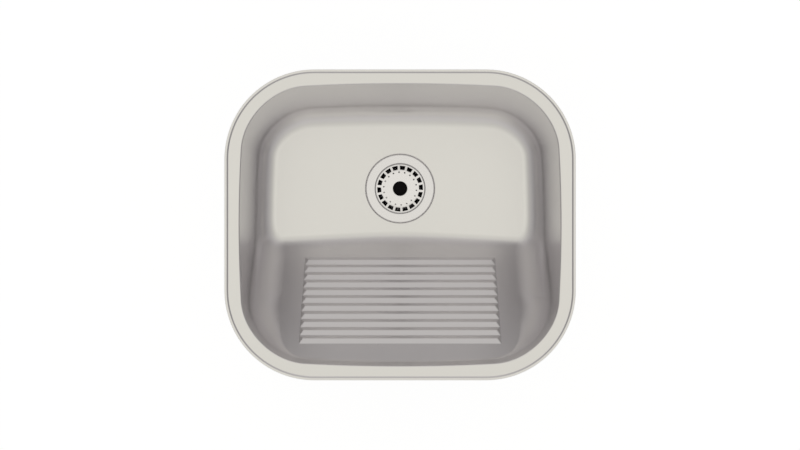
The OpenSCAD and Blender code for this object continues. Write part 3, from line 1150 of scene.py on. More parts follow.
@dataclass
class Bowl(Assembly):
    """The pressed sheet: rim, walls, falling floor, washboard slope and drain recess.

    Attributes:
        lip_marks: insets of further rings on the flat lip.
        riser_bend: reach of the bends below and above the riser.
        bow_x: share of the half width by which the sides curve in towards the corners.
        bow_y: the same for the front and back.
        fold_r: radius of the fold from the flange into the wall.
        side_draft: lean of the side walls, in degrees.
        back_draft: lean of the front and back walls.
        slope_blend: distances to the front between which the side fillet grows to that of the slope.
        back_turn: how far the wall has turned to the back where the back's fillet starts, from 0 to 1.
        corner_turn: how far it has turned to the front where the corner's fillet is largest.
        floor_fall: fall of the floor for each millimetre towards the drain.
        slope_foot: distance of the slope's foot from the centre, to the front.
        rib_start: height above that foot where the last rib ends.
        bend_round: how soft the bend between floor and slope is.
        recess_lift: half the height of the rounded edge where the floor meets the recess.
        recess_bend: reach of the recess's bends.
        rib_gap: flat between two ribs.
        rib_end_run: length of a rib's hipped end.
        crest_part: place of the crest between a rib's front, 0, and its back, 1.
        rib_marks: places of the mesh's rows along one rib.
        edge_rings: rings round each quarter of the rolled outer edge.
        margin: clearance of the floor's free points from the rings round them.
    """

    rim_w: float = 520.0
    rim_d: float = 460.0
    rim_r: float = 133.0
    lip_w: float = 3.3
    lip_marks: tuple[float, ...] = (1.3, 2.3)
    riser_w: float = 2.4
    riser_bend: float = 0.42
    flange_top: float = 2.4
    sheet_t: float = 0.8
    open_w: float = 475.0
    open_d: float = 416.8
    open_r: float = 91.0
    bow_x: float = 0.042
    bow_y: float = 0.047
    fold_r: float = 2.2
    side_draft: float = 1.5
    back_draft: float = 4.8
    floor_fillet: float = 33.0
    back_fillet: float = 35.0
    slope_fillet: float = 50.0
    slope_blend: tuple[float, float] = (-10.0, 60.0)
    corner_fillet: float = 70.0
    back_turn: float = 0.3
    corner_turn: float = 0.65
    front_fillet: float = 12.0
    drain_depth: float = 210.0
    floor_fall: float = 0.06
    slope_foot: float = 20.2
    rib_start: float = 32.8
    bend_round: float = 11.0
    recess_r: float = 59.0
    recess_rim_r: float = 57.3
    recess_flat_r: float = 56.5
    recess_h: float = 2.2
    recess_lift: float = 0.2
    recess_bend: float = 0.6
    recess_steps: int = 120
    hole_r: float = 43.5
    rib_count: int = 11
    rib_pitch: float = 16.45
    rib_gap: float = 0.5
    rib_h: float = 2.5
    rib_half: float = 154.0
    rib_end_run: float = 5.5
    crest_part: float = 0.547
    crest_round: float = 0.3
    rib_marks: tuple[float, ...] = (
        0, 0.5, 1.2, 3, 5.5, 7.4, 8.1, 8.5, 8.72, 8.95, 9.35, 10.1, 11.8, 13.6, 14.9, 15.5, 15.95
    )
    fold_steps: int = 10
    wall_steps: int = 12
    fillet_steps: int = 18
    edge_rings: int = 4
    margin: float = 4.0
    outline: Outline = field(default_factory=Outline)

    def planes(self, x: Array, y: Array) -> tuple[Array, Array]:
        """Finds the floor and the slope, each as if it went on past their bend.

        Args:
            x: the points' x.
            y: their y.

        Returns:
            The heights of the floor and those of the slope.
        """
        level = -self.drain_depth + self.recess_lift
        floor = level + self.floor_fall * (np.hypot(x, y - DRAIN_Y) - self.recess_r)
        return floor, -self.drain_depth - (y + self.slope_foot)

    def basin(self, x: Array, y: Array) -> Array:
        """Height of the floor or slope, without ribs, over points of the plan."""
        return soft_max(*self.planes(x, y), self.bend_round)

    def basin_normals(self, x: Array, y: Array) -> Array:
        """Upward normals of the floor or slope.

        Args:
            x: the points' x.
            y: their y.

        Returns:
            One row for each point.
        """
        step = 0.2
        along_x = (self.basin(x + step, y) - self.basin(x - step, y)) / (2 * step)
        along_y = (self.basin(x, y + step) - self.basin(x, y - step)) / (2 * step)
        return unit(np.column_stack([-along_x, -along_y, np.ones_like(x)]))

    def rib_height(self, x: Array, down: Array) -> Array:
        """Height of the washboard over the slope.

        Args:
            x: distance from the middle.
            down: distance along the slope towards the drain, 0 at the last rib's back end.

        Returns:
            Heights square to the slope.
        """
        length = self.rib_pitch - self.rib_gap
        rise = self.crest_part * length
        end = (self.rib_half - np.abs(x)) * self.rib_h / self.rib_end_run
        best = np.full(np.broadcast(x, down).shape, -np.inf)
        for k in range(1, self.rib_count + 1):
            t = down + k * self.rib_pitch - self.rib_gap / 2
            front = t * self.rib_h / rise
            back = (length - t) * self.rib_h / (length - rise)
            best = np.maximum(best, soft_min(soft_min(front, back, self.crest_round), end, self.crest_round))
        return soft_max(best, np.zeros_like(best), self.crest_round)

    def on_slope(self, x: Array, down: Array, height: Array) -> Array:
        """Moves points from the slope's own directions into the shared frame.

        Args:
            x: distance from the middle.
            down: distance along the slope towards the drain, 0 at the last rib's back end.
            height: distance from the slope, square to it.

        Returns:
            Rows of x, y, z.
        """
        y = -self.slope_foot - self.rib_start
        z = -self.drain_depth + self.rib_start
        return np.column_stack([x, y + HALF_ROOT * (down + height), z + HALF_ROOT * (height - down)])

    def opening(self) -> tuple[Array, Array]:
        """Makes the bowed opening.

        Returns:
            Its points and the outward direction at each, as rows of x, y.
        """
        half_w, half_d = self.open_w / 2, self.open_d / 2
        ring = self.outline.ring(half_w, half_d, self.open_r)
        x_share, y_share = ring[:, 0] / half_w, ring[:, 1] / half_d
        bowed = ring * (1 - np.column_stack([self.bow_x * y_share**2, self.bow_y * x_share**2]))
        along = np.roll(bowed, -1, axis=0) - np.roll(bowed, 1, axis=0)
        return bowed, unit(np.column_stack([along[:, 1], -along[:, 0]]))

    def rim_ring(self, inset: float, z: float) -> Array:
        """The rim's outline drawn in by inset, at a height."""
        sizes = (size - inset for size in (self.rim_w / 2, self.rim_d / 2, self.rim_r))
        return raised(self.outline.ring(*sizes), z)

    def rim_rings(self) -> list[Array]:
        """Makes the lip, the riser and the start of the flange, on the top side.

        Returns:
            Their rings from the outer edge inwards.
        """
        edge = self.sheet_t / 2
        quarter = np.linspace(0, math.pi / 2, self.edge_rings + 1)
        profile = [(edge * (1 - math.cos(t)), edge * (1 + math.sin(t))) for t in quarter]
        step = (self.lip_w, self.sheet_t)
        brow = (self.lip_w + self.riser_w, self.flange_top)
        bend = softened([profile[-1], step, brow, (brow[0] + 4, brow[1])], self.riser_bend, 4, closed=False)
        profile += [(mark, self.sheet_t) for mark in self.lip_marks] + bend[1:-1]
        return [self.rim_ring(inset, z) for inset, z in profile]

    def fillets(self, opening: Array, out: Array) -> Array:
        """Chooses the radius between wall and floor all round.

        Args:
            opening: the opening's points.
            out: the outward direction at each.

        Returns:
            The radius at each point.
        """
        side = self.floor_fillet + (self.slope_fillet - self.floor_fillet) * smoothstep(
            -opening[:, 1], *self.slope_blend
        )
        turn = np.abs(out[:, 1])
        back = side + (self.back_fillet - side) * smoothstep(turn, self.back_turn, 1)
        front = side + (self.corner_fillet - side) * smoothstep(turn, 0, self.corner_turn)
        front += (self.front_fillet - self.corner_fillet) * smoothstep(turn, self.corner_turn, 1)
        return np.where(out[:, 1] > 0, back, front)

    def wall_rings(self) -> list[Array]:
        """Makes the fold, the wall and the fillet.

        Returns:
            Their rings from the flange down to where the floor starts.
        """
        opening, out = self.opening()
        lean = np.tan(np.radians(self.side_draft + (self.back_draft - self.side_draft) * out[:, 1] ** 2))
        radius = self.fillets(opening, out)

        def spots(inwards: Array) -> Array:
            """Points of the plan at a distance inwards from the opening."""
            return opening - out * inwards[:, None]

        def height(inwards: Array) -> Array:
            """Height of the floor or slope there."""
            return self.basin(*spots(inwards).T)

        long = np.hypot(1, lean)
        wall_n = np.column_stack([np.ones_like(lean), lean]) / long[:, None]
        a = radius + self.flange_top * wall_n[:, 1]
        inwards = radius + 10
        for _ in range(8):
            slope = height(inwards + 0.5) - height(inwards - 0.5)
            floor_n = np.column_stack([-slope, np.ones_like(slope)]) / np.hypot(slope, 1)[:, None]
            b = radius + inwards * floor_n[:, 0] + height(inwards) * floor_n[:, 1]
            det = wall_n[:, 0] * floor_n[:, 1] - wall_n[:, 1] * floor_n[:, 0]
            centre = np.column_stack(
                [(a * floor_n[:, 1] - b * wall_n[:, 1]) / det, (b * wall_n[:, 0] - a * floor_n[:, 0]) / det]
            )
            inwards = centre[:, 0] - radius * floor_n[:, 0]

        def bend(u: Array, z: Array, size: Any, first: Any, last: Any, steps: int) -> list[Array]:
            """Rings round a bend about the line (u, z), from one angle to another."""
            angles = [(1 - t) * first + t * last for t in np.linspace(0, 1, steps + 1)]
            return [raised(spots(u + size * np.cos(angle)), z + size * np.sin(angle)) for angle in angles]

        fold_u, fold_z = self.fold_r * (lean - long), self.flange_top - self.fold_r
        fold = bend(fold_u, fold_z, self.fold_r, math.pi / 2, np.arctan(lean), self.fold_steps)
        start = np.column_stack([fold_u + self.fold_r / long, fold_z + self.fold_r * lean / long])
        stop = centre - radius[:, None] * wall_n
        straight = [(1 - t) * start + t * stop for t in np.linspace(0, 1, self.wall_steps + 1)[1:-1]]
        first, last = math.pi + np.arctan(lean), 1.5 * math.pi + np.arctan(slope)
        fillet = bend(centre[:, 0], centre[:, 1], radius, first, last, self.fillet_steps)
        return fold + [raised(spots(line[:, 0]), line[:, 1]) for line in straight] + fillet

    def recess_profile(self) -> list[tuple[float, float]]:
        """Lays out the recess's section.

        Returns:
            Radius and height from the recess's edge to the hole.
        """
        level, low = -self.drain_depth, -self.drain_depth - self.recess_h
        corners = [
            (self.recess_r, level + self.recess_lift),
            (self.recess_rim_r, level - self.recess_lift),
            (self.recess_flat_r, low),
            (self.hole_r + self.sheet_t / 2, low),
        ]
        return softened(corners, self.recess_bend, 4, closed=False)

    @staticmethod
    def ring_normals(rings: Sequence[Array]) -> list[Array]:
        """Finds a grid's normals from its own directions.

        Args:
            rings: the grid's rings.

        Returns:
            Normals on the side that looks up or inwards, a row for each point.
        """
        grid = np.array(rings)
        down = np.empty_like(grid)
        down[1:-1] = grid[2:] - grid[:-2]
        down[0], down[-1] = grid[1] - grid[0], grid[-1] - grid[-2]
        along = np.roll(grid, -1, axis=1) - np.roll(grid, 1, axis=1)
        return list(unit(np.cross(along, down)))

    def rib_grid(self) -> tuple[Array, Array]:
        """Lays out the washboard's mesh.

        Returns:
            The places of its rows down the slope and of its columns across it.
        """
        front = -self.rib_count * self.rib_pitch
        down = [front - 3, front - 1]
        for k in range(self.rib_count, 0, -1):
            down += [-k * self.rib_pitch + self.rib_gap / 2 + mark for mark in self.rib_marks]
        down += [1.0, 3.0]
        edge = [self.rib_half + 4, self.rib_half + 2.5]
        edge += list(np.arange(self.rib_half + 1.5, self.rib_half - 7.1, -0.5)) + [145.0, 142.0]
        across = [-x for x in edge] + list(np.linspace(-126, 126, 15)) + edge[::-1]
        return np.array(down), np.array(across)

    def build(self) -> None:
        """Makes the sheet as one mesh with both faces, a rolled outer edge and exact normals."""
        draft = Draft()
        rim, wall = self.rim_rings(), self.wall_rings()
        flange = [(1 - t) * rim[-1] + t * wall[0] for t in (0.25, 0.5, 0.75)]
        rings = rim + flange + wall
        normals = self.ring_normals(rings)
        foot = wall[-1]
        normals[-1] = self.basin_normals(foot[:, 0], foot[:, 1])
        normals[0][:, 2] = 0
        normals[0] = unit(normals[0])
        top = [draft.add(ring, normal) for ring, normal in zip(rings, normals)]
        low = [top[0]]
        flip = np.array([1.0, 1.0, -1.0])
        for ring, normal in zip(rings[1 : self.edge_rings], normals[1 : self.edge_rings]):
            low.append(draft.add(ring * flip + [0.0, 0.0, self.sheet_t], normal * flip))
        for ring, normal in zip(rings[self.edge_rings :], normals[self.edge_rings :]):
            low.append(draft.add(ring - normal * self.sheet_t, -normal))
        draft.strips(top)
        draft.strips(low)
        patches, recesses = self.washboard(draft), self.recess(draft)
        upper, lower = (
            (rows[-1], self.border(patch), edge) for rows, patch, edge in zip((top, low), patches, recesses)
        )
        self.floor(draft, upper, lower)
        self.enter(draft.object("pressed_bowl"), "bowl", "sink", Slot.SHEET)

    def washboard(self, draft: Draft) -> list[Array]:
        """Adds the ribbed patch on both faces.

        Args:
            draft: the mesh that takes it.

        Returns:
            The grids of its points' numbers, for the upper and the lower face.
        """
        down, across = self.rib_grid()
        x, d = (grid.ravel() for grid in np.meshgrid(across, down))
        step = 0.05
        along_x = (self.rib_height(x + step, d) - self.rib_height(x - step, d)) / (2 * step)
        along_d = (self.rib_height(x, d + step) - self.rib_height(x, d - step)) / (2 * step)
        normals = unit(np.column_stack([-along_x, HALF_ROOT * (1 - along_d), HALF_ROOT * (1 + along_d)]))
        points = self.on_slope(x, d, self.rib_height(x, d))
        grids = []
        for place, normal in ((points, normals), (points - normals * self.sheet_t, -normals)):
            grid = draft.add(place, normal).reshape(len(down), len(across))
            draft.strips(grid, closed=False)
            grids.append(grid)
        return grids

    @staticmethod
    def border(grid: Array) -> Array:
        """Numbers round the edge of a grid."""
        return np.concatenate([grid[0, :-1], grid[:-1, -1], grid[-1, :0:-1], grid[:0:-1, 0]])

    def recess(self, draft: Draft) -> tuple[Array, Array]:
        """Adds the drain recess down to the hole's edge.

        Args:
            draft: the mesh that takes it.

        Returns:
            The numbers of its outer ring, for the upper and the lower face.
        """
        profile, centre = self.recess_profile(), (0, DRAIN_Y)
        rings = [circle(r, z, self.recess_steps, centre) for r, z in profile]
        normals = self.ring_normals(rings)
        normals[0] = self.basin_normals(rings[0][:, 0], rings[0][:, 1])
        top = [draft.add(ring, normal) for ring, normal in zip(rings, normals)]
        low = [draft.add(ring - normal * self.sheet_t, -normal) for ring, normal in zip(rings, normals)]
        edge = circle(self.hole_r, profile[-1][1] - self.sheet_t / 2, self.recess_steps, centre)
        inwards = np.array([0, DRAIN_Y, edge[0, 2]]) - edge
        lip = draft.add(edge, inwards / self.hole_r)
        draft.strips(top + [lip])
        draft.strips(low + [lip])
        return top[0], low[0]

    def floor(self, draft: Draft, upper: Sequence[Array], lower: Sequence[Array]) -> None:
        """Fills the floor and slope between the wall, the washboard and the recess, on both faces.

        Args:
            draft: the mesh that takes them.
            upper: the numbers round the wall's foot, the washboard and the recess, on the upper face.
            lower: the same on the lower face.
        """
        points = np.concatenate(draft.points)
        spots, triangles = self.floor_mesh([points[numbers][:, :2] for numbers in upper])
        normals = self.basin_normals(*spots.T)
        place = raised(spots, self.basin(*spots.T))
        draft.fill(np.concatenate([*upper, draft.add(place, normals)]), triangles)
        draft.fill(np.concatenate([*lower, draft.add(place - normals * self.sheet_t, -normals)]), triangles)

    def floor_mesh(self, loops: Sequence[Array]) -> tuple[Array, Array]:
        """Spreads points over the floor and slope, closer together along their bend, and joins them.

        Args:
            loops: x and y round the wall's foot, the washboard and the recess.

        Returns:
            The points, as rows of x, y, and the triangles, numbered through the loops and then the points.
        """
        foot, patch, recess = loops
        bend_reach = 12

        def grid(front: float, back: float, step_x: float, step_y: float) -> tuple[Array, Array]:
            """Spreads points over the whole width.

            Args:
                front: y of the first row.
                back: y that the rows stop before.
                step_x: distance from column to column.
                step_y: distance from row to row.

            Returns:
                The points, and which of them lie near the bend of floor and slope.
            """
            x, y = np.meshgrid(np.arange(-208, 209, step_x), np.arange(front, back, step_y))
            x, y = x.ravel(), y.ravel()
            floor, slope = self.planes(x, y)
            return np.column_stack([x, y]), np.abs(floor - self.recess_lift - slope) <= bend_reach

        def free(points: Array) -> Array:
            """Which points lie within the foot and outside the washboard and the recess."""
            return inside(points, foot) & ~inside(points, patch) & ~inside(points, recess)

        coarse, coarse_near = grid(-200, 170, 9.0, 9.0)
        fine, fine_near = grid(-48, -3, 6.5, 1.6)
        spots = np.concatenate([coarse[~coarse_near], fine[fine_near]])
        spots = spots[free(spots)]
        spots = spots[(apart(spots, foot) > self.margin) & (apart(spots, recess) > self.margin)]
        front, back = patch[:, 1].min() - self.margin, patch[:, 1].max() + self.margin
        beside = np.abs(spots[:, 0]) >= self.rib_half + 2 * self.margin
        spots = spots[beside | (spots[:, 1] >= back) | (spots[:, 1] <= front)]
        return spots, triangulated(loops, spots, free)


@dataclass
class Drain(Assembly):
    """Strainer body with its gaskets, washer and lock nut, on the drain's axis.

    Attributes:
        top: height of the flange's top, from which the other heights count.
        neck_thread: the outlet's thread, as its lower end, upper end, pitch and depth.
        cup_thread: the same for the cup's thread.
        stack_h: depth of the sheet's underside.
        lug_w: how far the nut's lugs stand out.
        lug_half: half the width of a lug's crown.
        lug_side: width of its sloping side.
        steps: points round each ring.
    """

    y: float = DRAIN_Y
    top: float = -210.4
    flange_r: float = 56.0
    flange_t: float = 1.0
    cup_r: float = 41.2
    seat_r: float = 39.0
    cup_h: float = 39.6
    neck_h: float = 75.0
    neck_r: float = 23.9
    outlet_r: float = 20.5
    wall_t: float = 1.2
    shoulder_h: float = 3.4
    neck_thread: tuple[float, float, float, float] = (-74.0, -46.0, 2.3, 0.75)
    cup_thread: tuple[float, float, float, float] = (-30.4, -7.0, 2.1, 0.6)
    hole_r: float = 43.5
    stack_h: float = 2.6
    gasket_t: float = 0.8
    seal_t: float = 3.2
    slip_t: float = 1.2
    nut_h: float = 12.0
    lug_w: float = 4.85
    lug_half: float = 3.55
    lug_side: float = 0.45
    steps: int = 144

    def turned(self, name: str, profile: Profile, closed: bool = True) -> bpy.types.Object:
        """Turns a profile, in heights from the flange's top, about the drain's axis."""
        rings = [circle(r, self.top + z, self.steps, (0, self.y)) for r, z in profile]
        return smooth_edges(loft(name, rings, closed))

    def washer(self, name: str, inner: float, outer: float, top: float, thick: float) -> bpy.types.Object:
        """A flat ring with rounded edges, top given from the flange's top."""
        corners = [(inner, top - thick), (outer, top - thick), (outer, top), (inner, top)]
        return self.turned(name, softened(corners, min(0.35, thick / 3)))

    def body(self) -> bpy.types.Object:
        """Makes the strainer body: flange, cup and outlet neck with their threads.

        Returns:
            The new object.
        """
        rim, cup, seat, deep = self.flange_r, self.cup_r, self.seat_r, -self.cup_h
        out, low, step = cup + self.wall_t, seat + self.wall_t, -self.shoulder_h
        thread_step = 0.42
        inner = [
            (rim, -self.flange_t - 0.6), (rim, -0.45), (rim - 0.9, 0),
            (cup + 1.5, -0.1), (cup + 0.6, -0.3), (cup + 0.15, -0.8), (cup, -1.5), (cup, step),
            (seat + 0.4, step), (seat, step - 0.4), (seat, -30), (seat - 1.2, -35.4), (seat - 4, deep + 0.6),
            (seat - 7, deep), (self.outlet_r, deep), (self.outlet_r, -self.neck_h),
        ]
        neck = levels(self.neck_r, -self.neck_h, deep - self.wall_t - 0.1, thread_step)
        heel = [(seat - 6.6, deep - self.wall_t), (seat - 3, deep - 0.4), (low - 1.2, -35.8)]
        wall = levels(low, self.cup_thread[0], step - self.wall_t - 0.4, thread_step)
        under = rim - self.wall_t
        brim = [
            (out, step - self.wall_t + 0.2), (out, -self.flange_t - 0.4), (out + 0.4, -self.flange_t),
            (under, -self.flange_t), (under, -self.flange_t - 0.6),
        ]
        profile = softened(inner, 0.5, closed=False) + neck + softened(heel, 1.2, closed=False) + wall + brim
        threads = {self.neck_r: self.neck_thread, low: self.cup_thread}
        rings = []
        for r, z in profile:
            ring = circle(r, self.top + z, self.steps, (0, self.y))
            if r in threads:
                start, stop, pitch, depth = threads[r]
                ring = threaded(ring, (0, self.y), self.top + start, self.top + stop, pitch, depth)
            rings.append(ring)
        return smooth_edges(loft("strainer_cup", rings, True), 50)

    def nut(self) -> bpy.types.Object:
        """Makes the lock nut: a bevelled ring with six lugs round its lower part.

        Returns:
            The new object.
        """
        top = -self.stack_h - self.seal_t - self.slip_t
        bottom, lug_top = top - self.nut_h, top - 3
        bore, disc, lug = self.seat_r + self.wall_t + 0.2, self.flange_r - 3, self.lug_w
        angle = around(360)
        turn = (angle + math.pi / 6) % (math.pi / 3) - math.pi / 6

        def ring(radius: float, z: float, reach: float = 0.0) -> Array:
            """Makes a ring that stands out at the six lugs.

            Args:
                radius: its radius between them.
                z: its height from the flange's top.
                reach: how far it stands out.

            Returns:
                The ring.
            """
            away = np.abs(np.sin(turn) * radius) - self.lug_half
            grow = 1 - np.clip(away / self.lug_side, 0, 1)
            return polar(radius + reach * grow, angle, self.top + z, (0, self.y))

        shape = [
            (bore + 0.5, bottom), (disc - 0.6, bottom, lug), (disc - 0.2, bottom + 0.2, lug + 0.05),
            (disc, bottom + 0.6, lug), (disc, lug_top - 0.6, lug), (disc, lug_top - 0.2, lug - 0.15),
            (disc, lug_top, lug - 0.6), (disc, lug_top), (disc, top - 0.8), (disc - 0.25, top - 0.25),
            (disc - 0.8, top), (bore + 0.5, top), (bore, top - 0.5), (bore, bottom + 0.5),
        ]
        return smooth_edges(loft("lugged_nut", [ring(*row) for row in shape], True), 32)

    def build(self) -> None:
        """Makes the strainer and the clamping stack."""
        self.enter(self.body(), "strainer_body", "sink", Slot.POLISHED)
        edge, outer, low = self.flange_r - self.wall_t - 0.3, self.flange_r - 1, -self.stack_h
        stack = (
            ("flange_seal", "flange_gasket", Slot.RUBBER, 1.0, edge, -self.flange_t, self.gasket_t),
            ("lower_seal", "lower_gasket", Slot.RUBBER, -0.5, outer, low, self.seal_t),
            ("fibre_washer", "friction_washer", Slot.FIBRE, -0.3, outer, low - self.seal_t, self.slip_t),
        )
        for name, node, slot, gap, reach, top, thick in stack:
            self.enter(self.washer(name, self.hole_r + gap, reach, top, thick), node, "sink", slot)
        self.enter(self.nut(), "lock_nut", "sink", Slot.ZINC)


@dataclass
class Basket(Drain):
    """The loose strainer basket with its slots and holes, and the bush that guides the plug's rod.

    Attributes:
        lip_top: height of the lip that hangs over the cup's step.
        shoulder_fall: fall of the slotted shoulder from the lip to the dish.
        slot_in: inner end of each slot, from the axis.
        slot_out: its outer end.
        bar_w: width of the bars between the slots.
        dot_ring: distance of the small holes from the axis.
        per_slot: pieces of each arc over one slot's share.
        turn: angle of the first slot.
    """

    thick: float = 0.8
    lip_r: float = 40.0
    lip_top: float = -2.4
    shoulder_r: float = 38.5
    shoulder_fall: float = 1.6
    dish_r: float = 29.5
    floor_z: float = -4.0
    slots: int = 18
    slot_in: float = 31.2
    slot_out: float = 37.8
    slot_round: float = 0.9
    bar_w: float = 3.7
    dot_ring: float = 27.2
    dot_r: float = 1.4
    dot_steps: int = 14
    bush_r: float = 4.5
    bush_head_r: float = 7.5
    bush_head_t: float = 1.5
    bush_bore: float = 3.08
    bush_end: float = -28.3
    per_slot: int = 12
    turn: float = math.radians(90 - 6.4)

    def sector(self) -> Draft:
        """Makes one slot's share of the sheet's upper face: lip, slotted wall and pierced floor.

        Returns:
            The open mesh.
        """
        draft = Draft()
        half = math.pi / self.slots
        columns = np.linspace(-half, half, self.per_slot + 1)
        slope = self.shoulder_fall / (self.shoulder_r - self.dish_r)
        r, top, shoulder, dish = self.lip_r, self.lip_top, self.shoulder_r, self.dish_r
        high = (shoulder - 0.4, top - 0.4 * slope)
        low = (dish + 0.8, self.floor_z + 0.8 * slope)
        lip = [
            (r, -self.shoulder_h + 0.15), (r, top - 0.55), (r - 0.2, top - 0.15), (r - 0.6, top),
            (shoulder + 0.3, top), (shoulder, top - 0.1 * slope), high,
        ]
        wall = softened([low, (dish, self.floor_z), (dish - 0.8, self.floor_z)], 0.6, 4, closed=False)
        groups = []
        for profile in (lip, wall):
            arcs = [polar(reach, columns + self.turn, self.top + z, (0, self.y)) for reach, z in profile]
            groups.append([draft.add(arc) for arc in arcs])
        for group in groups:
            draft.strips(group, closed=False)
        self.slotted(draft, (groups[0][-1], groups[1][0]), (high, low), columns)
        self.pierced(draft, wall[-1][0], half)
        return draft

    def slotted(self, draft: Draft, arcs: Sequence[Array], ends: Profile, columns: Array) -> None:
        """Fills the falling shoulder between two arcs, round one slot with rounded corners.

        Args:
            draft: the mesh that takes it.
            arcs: the numbers of the upper and the lower arc.
            ends: radius and height of both.
            columns: the angles of their points.
        """
        (high_r, high_z), (low_r, low_z) = ends
        mean = (high_r + low_r) / 2
        pitch = math.tan(math.pi / self.slots)
        near, far = self.slot_in * pitch - self.bar_w / 2, self.slot_out * pitch - self.bar_w / 2
        corners = [(self.slot_in, -near), (self.slot_out, -far), (self.slot_out, far), (self.slot_in, near)]
        loop = softened(corners, self.slot_round, 4)
        slot = np.array(
            [(math.atan2(y, x) * mean, (high_r - math.hypot(x, y)) / (high_r - low_r)) for x, y in loop]
        )
        first = np.column_stack([columns * mean, np.zeros_like(columns)])
        last = np.column_stack([columns[::-1] * mean, np.ones_like(columns)])

        def keep(centres: Array) -> Array:
            """Which centres lie outside the slot."""
            return ~inside(centres, slot)

        angle, share = slot[:, 0] / mean + self.turn, slot[:, 1]
        heights = self.top + high_z + (low_z - high_z) * share
        rim = draft.add(polar(high_r + (low_r - high_r) * share, angle, heights, (0, self.y)))
        triangles = triangulated([np.concatenate([first, last]), slot], np.zeros((0, 2)), keep)
        draft.fill(np.concatenate([arcs[0], arcs[1][::-1], rim]), triangles)

    def pierced(self, draft: Draft, outer_r: float, half: float) -> None:
        """Fills the floor's share, turned by half a slot, round one small hole.

        Args:
            draft: the mesh that takes it.
            outer_r: radius of the dish's flat floor.
            half: half the angle of one share.
        """
        inner_r = self.bush_head_r - 1.5
        middle = half + self.turn
        columns = np.linspace(-half, half, self.per_slot + 1) + middle
        spot = (self.dot_ring * math.cos(middle), self.dot_ring * math.sin(middle))
        hole = circle(self.dot_r, 0.0, self.dot_steps, spot)[:, :2]
        outer = np.concatenate([polar(outer_r, columns, 0.0), polar(inner_r, columns[::-1], 0.0)])[:, :2]

        def keep(centres: Array) -> Array:
            """Which centres lie on the floor and outside the hole."""
            return ~inside(centres, hole) & inside(centres, outer)

        triangles = triangulated([outer, hole], np.zeros((0, 2)), keep)
        flat = np.concatenate([outer, hole]) + [0.0, self.y]
        draft.fill(draft.add(raised(flat, self.top + self.floor_z)), triangles)

    def build(self) -> None:
        """Makes the basket and its bush."""
        basket = self.sector().object("slotted_basket")
        around_axis(basket, self.slots, (0, self.y), self.finish(Slot.POLISHED))
        if sum(face.normal.z * face.area for face in basket.data.polygons) < 0:
            basket.data.flip_normals()
        skin = basket.modifiers.new("thickness", "SOLIDIFY")
        skin.thickness = self.thick * MM
        skin.offset = -1.0
        frozen(basket)
        self.enter(smooth_edges(basket, 40), "basket", "basket", Slot.POLISHED)
        head, end, bore = self.bush_head_r, self.bush_end, self.bush_bore
        seat, top = self.floor_z + 0.02, self.floor_z + self.bush_head_t
        shaft = self.bush_r
        profile = [(bore, end), (shaft, end), (shaft, seat), (head, seat), (head, top), (bore, top)]
        self.enter(self.turned("rod_bush", softened(profile, 0.4)), "guide_bush", "basket", Slot.PLASTIC)


@dataclass
class Plug(Drain):
    """The pull-up plug: knob, rod, washer, seal and nut.

    Attributes:
        knob_top: height of the knob's rim over the flange.
        disc_z: height of the seal's upper face.
        disc_over: how far the seal reaches past the outlet's edge.
    """

    knob_r: float = 12.0
    knob_top: float = 5.8
    knob_t: float = 8.0
    stem_r: float = 3.0
    plate_t: float = 1.2
    disc_z: float = -37.6
    disc_t: float = 2.0
    disc_over: float = 4.0
    nut_t: float = 5.0
    nut_flat: float = 5.8 * math.cos(math.pi / 6)

    def build(self) -> None:
        """Makes the plug's pieces."""
        r, z, foot, stem = self.knob_r, self.knob_top, self.knob_top - self.knob_t, self.stem_r
        profile = [
            (0, z - 0.8), (3, z - 0.8), (r - 4, z - 0.75), (r - 2.6, z - 0.12), (r - 1.4, z),
            (r - 0.4, z - 0.5), (r, z - 1.5), (r, z - 4.5), (r - 0.5, z - 5.3), (6, foot + 1), (5.4, foot),
            (stem, foot), (stem, z - 3), (0, z - 3),
        ]
        nut_low = -self.cup_h - self.nut_t
        low = nut_low - 1.5
        rod = [(0, z - 3), (stem, z - 3), (stem, low + 0.6), (stem - 0.6, low), (0, low)]
        knob = self.turned("lift_knob", softened(profile, 0.9, 4, closed=False), closed=False)
        self.enter(knob, "knob", "plug", Slot.PLASTIC)
        self.enter(self.turned("lift_rod", rod, closed=False), "plug_stem", "plug", Slot.POLISHED)
        plate_z = self.disc_z + self.plate_t
        plate = self.washer("seal_washer", stem, self.outlet_r - 1.5, plate_z, self.plate_t)
        self.enter(plate, "plug_washer", "plug", Slot.POLISHED)
        disc = self.washer("plug_disc", stem, self.outlet_r + self.disc_over, self.disc_z, self.disc_t)
        self.enter(disc, "plug_seal", "plug", Slot.RUBBER)
        nut = hex_nut("plug_nut_hex", (0, self.y), self.top + nut_low, self.nut_t, self.nut_flat, stem)
        self.enter(nut, "plug_nut", "plug", Slot.ZINC)


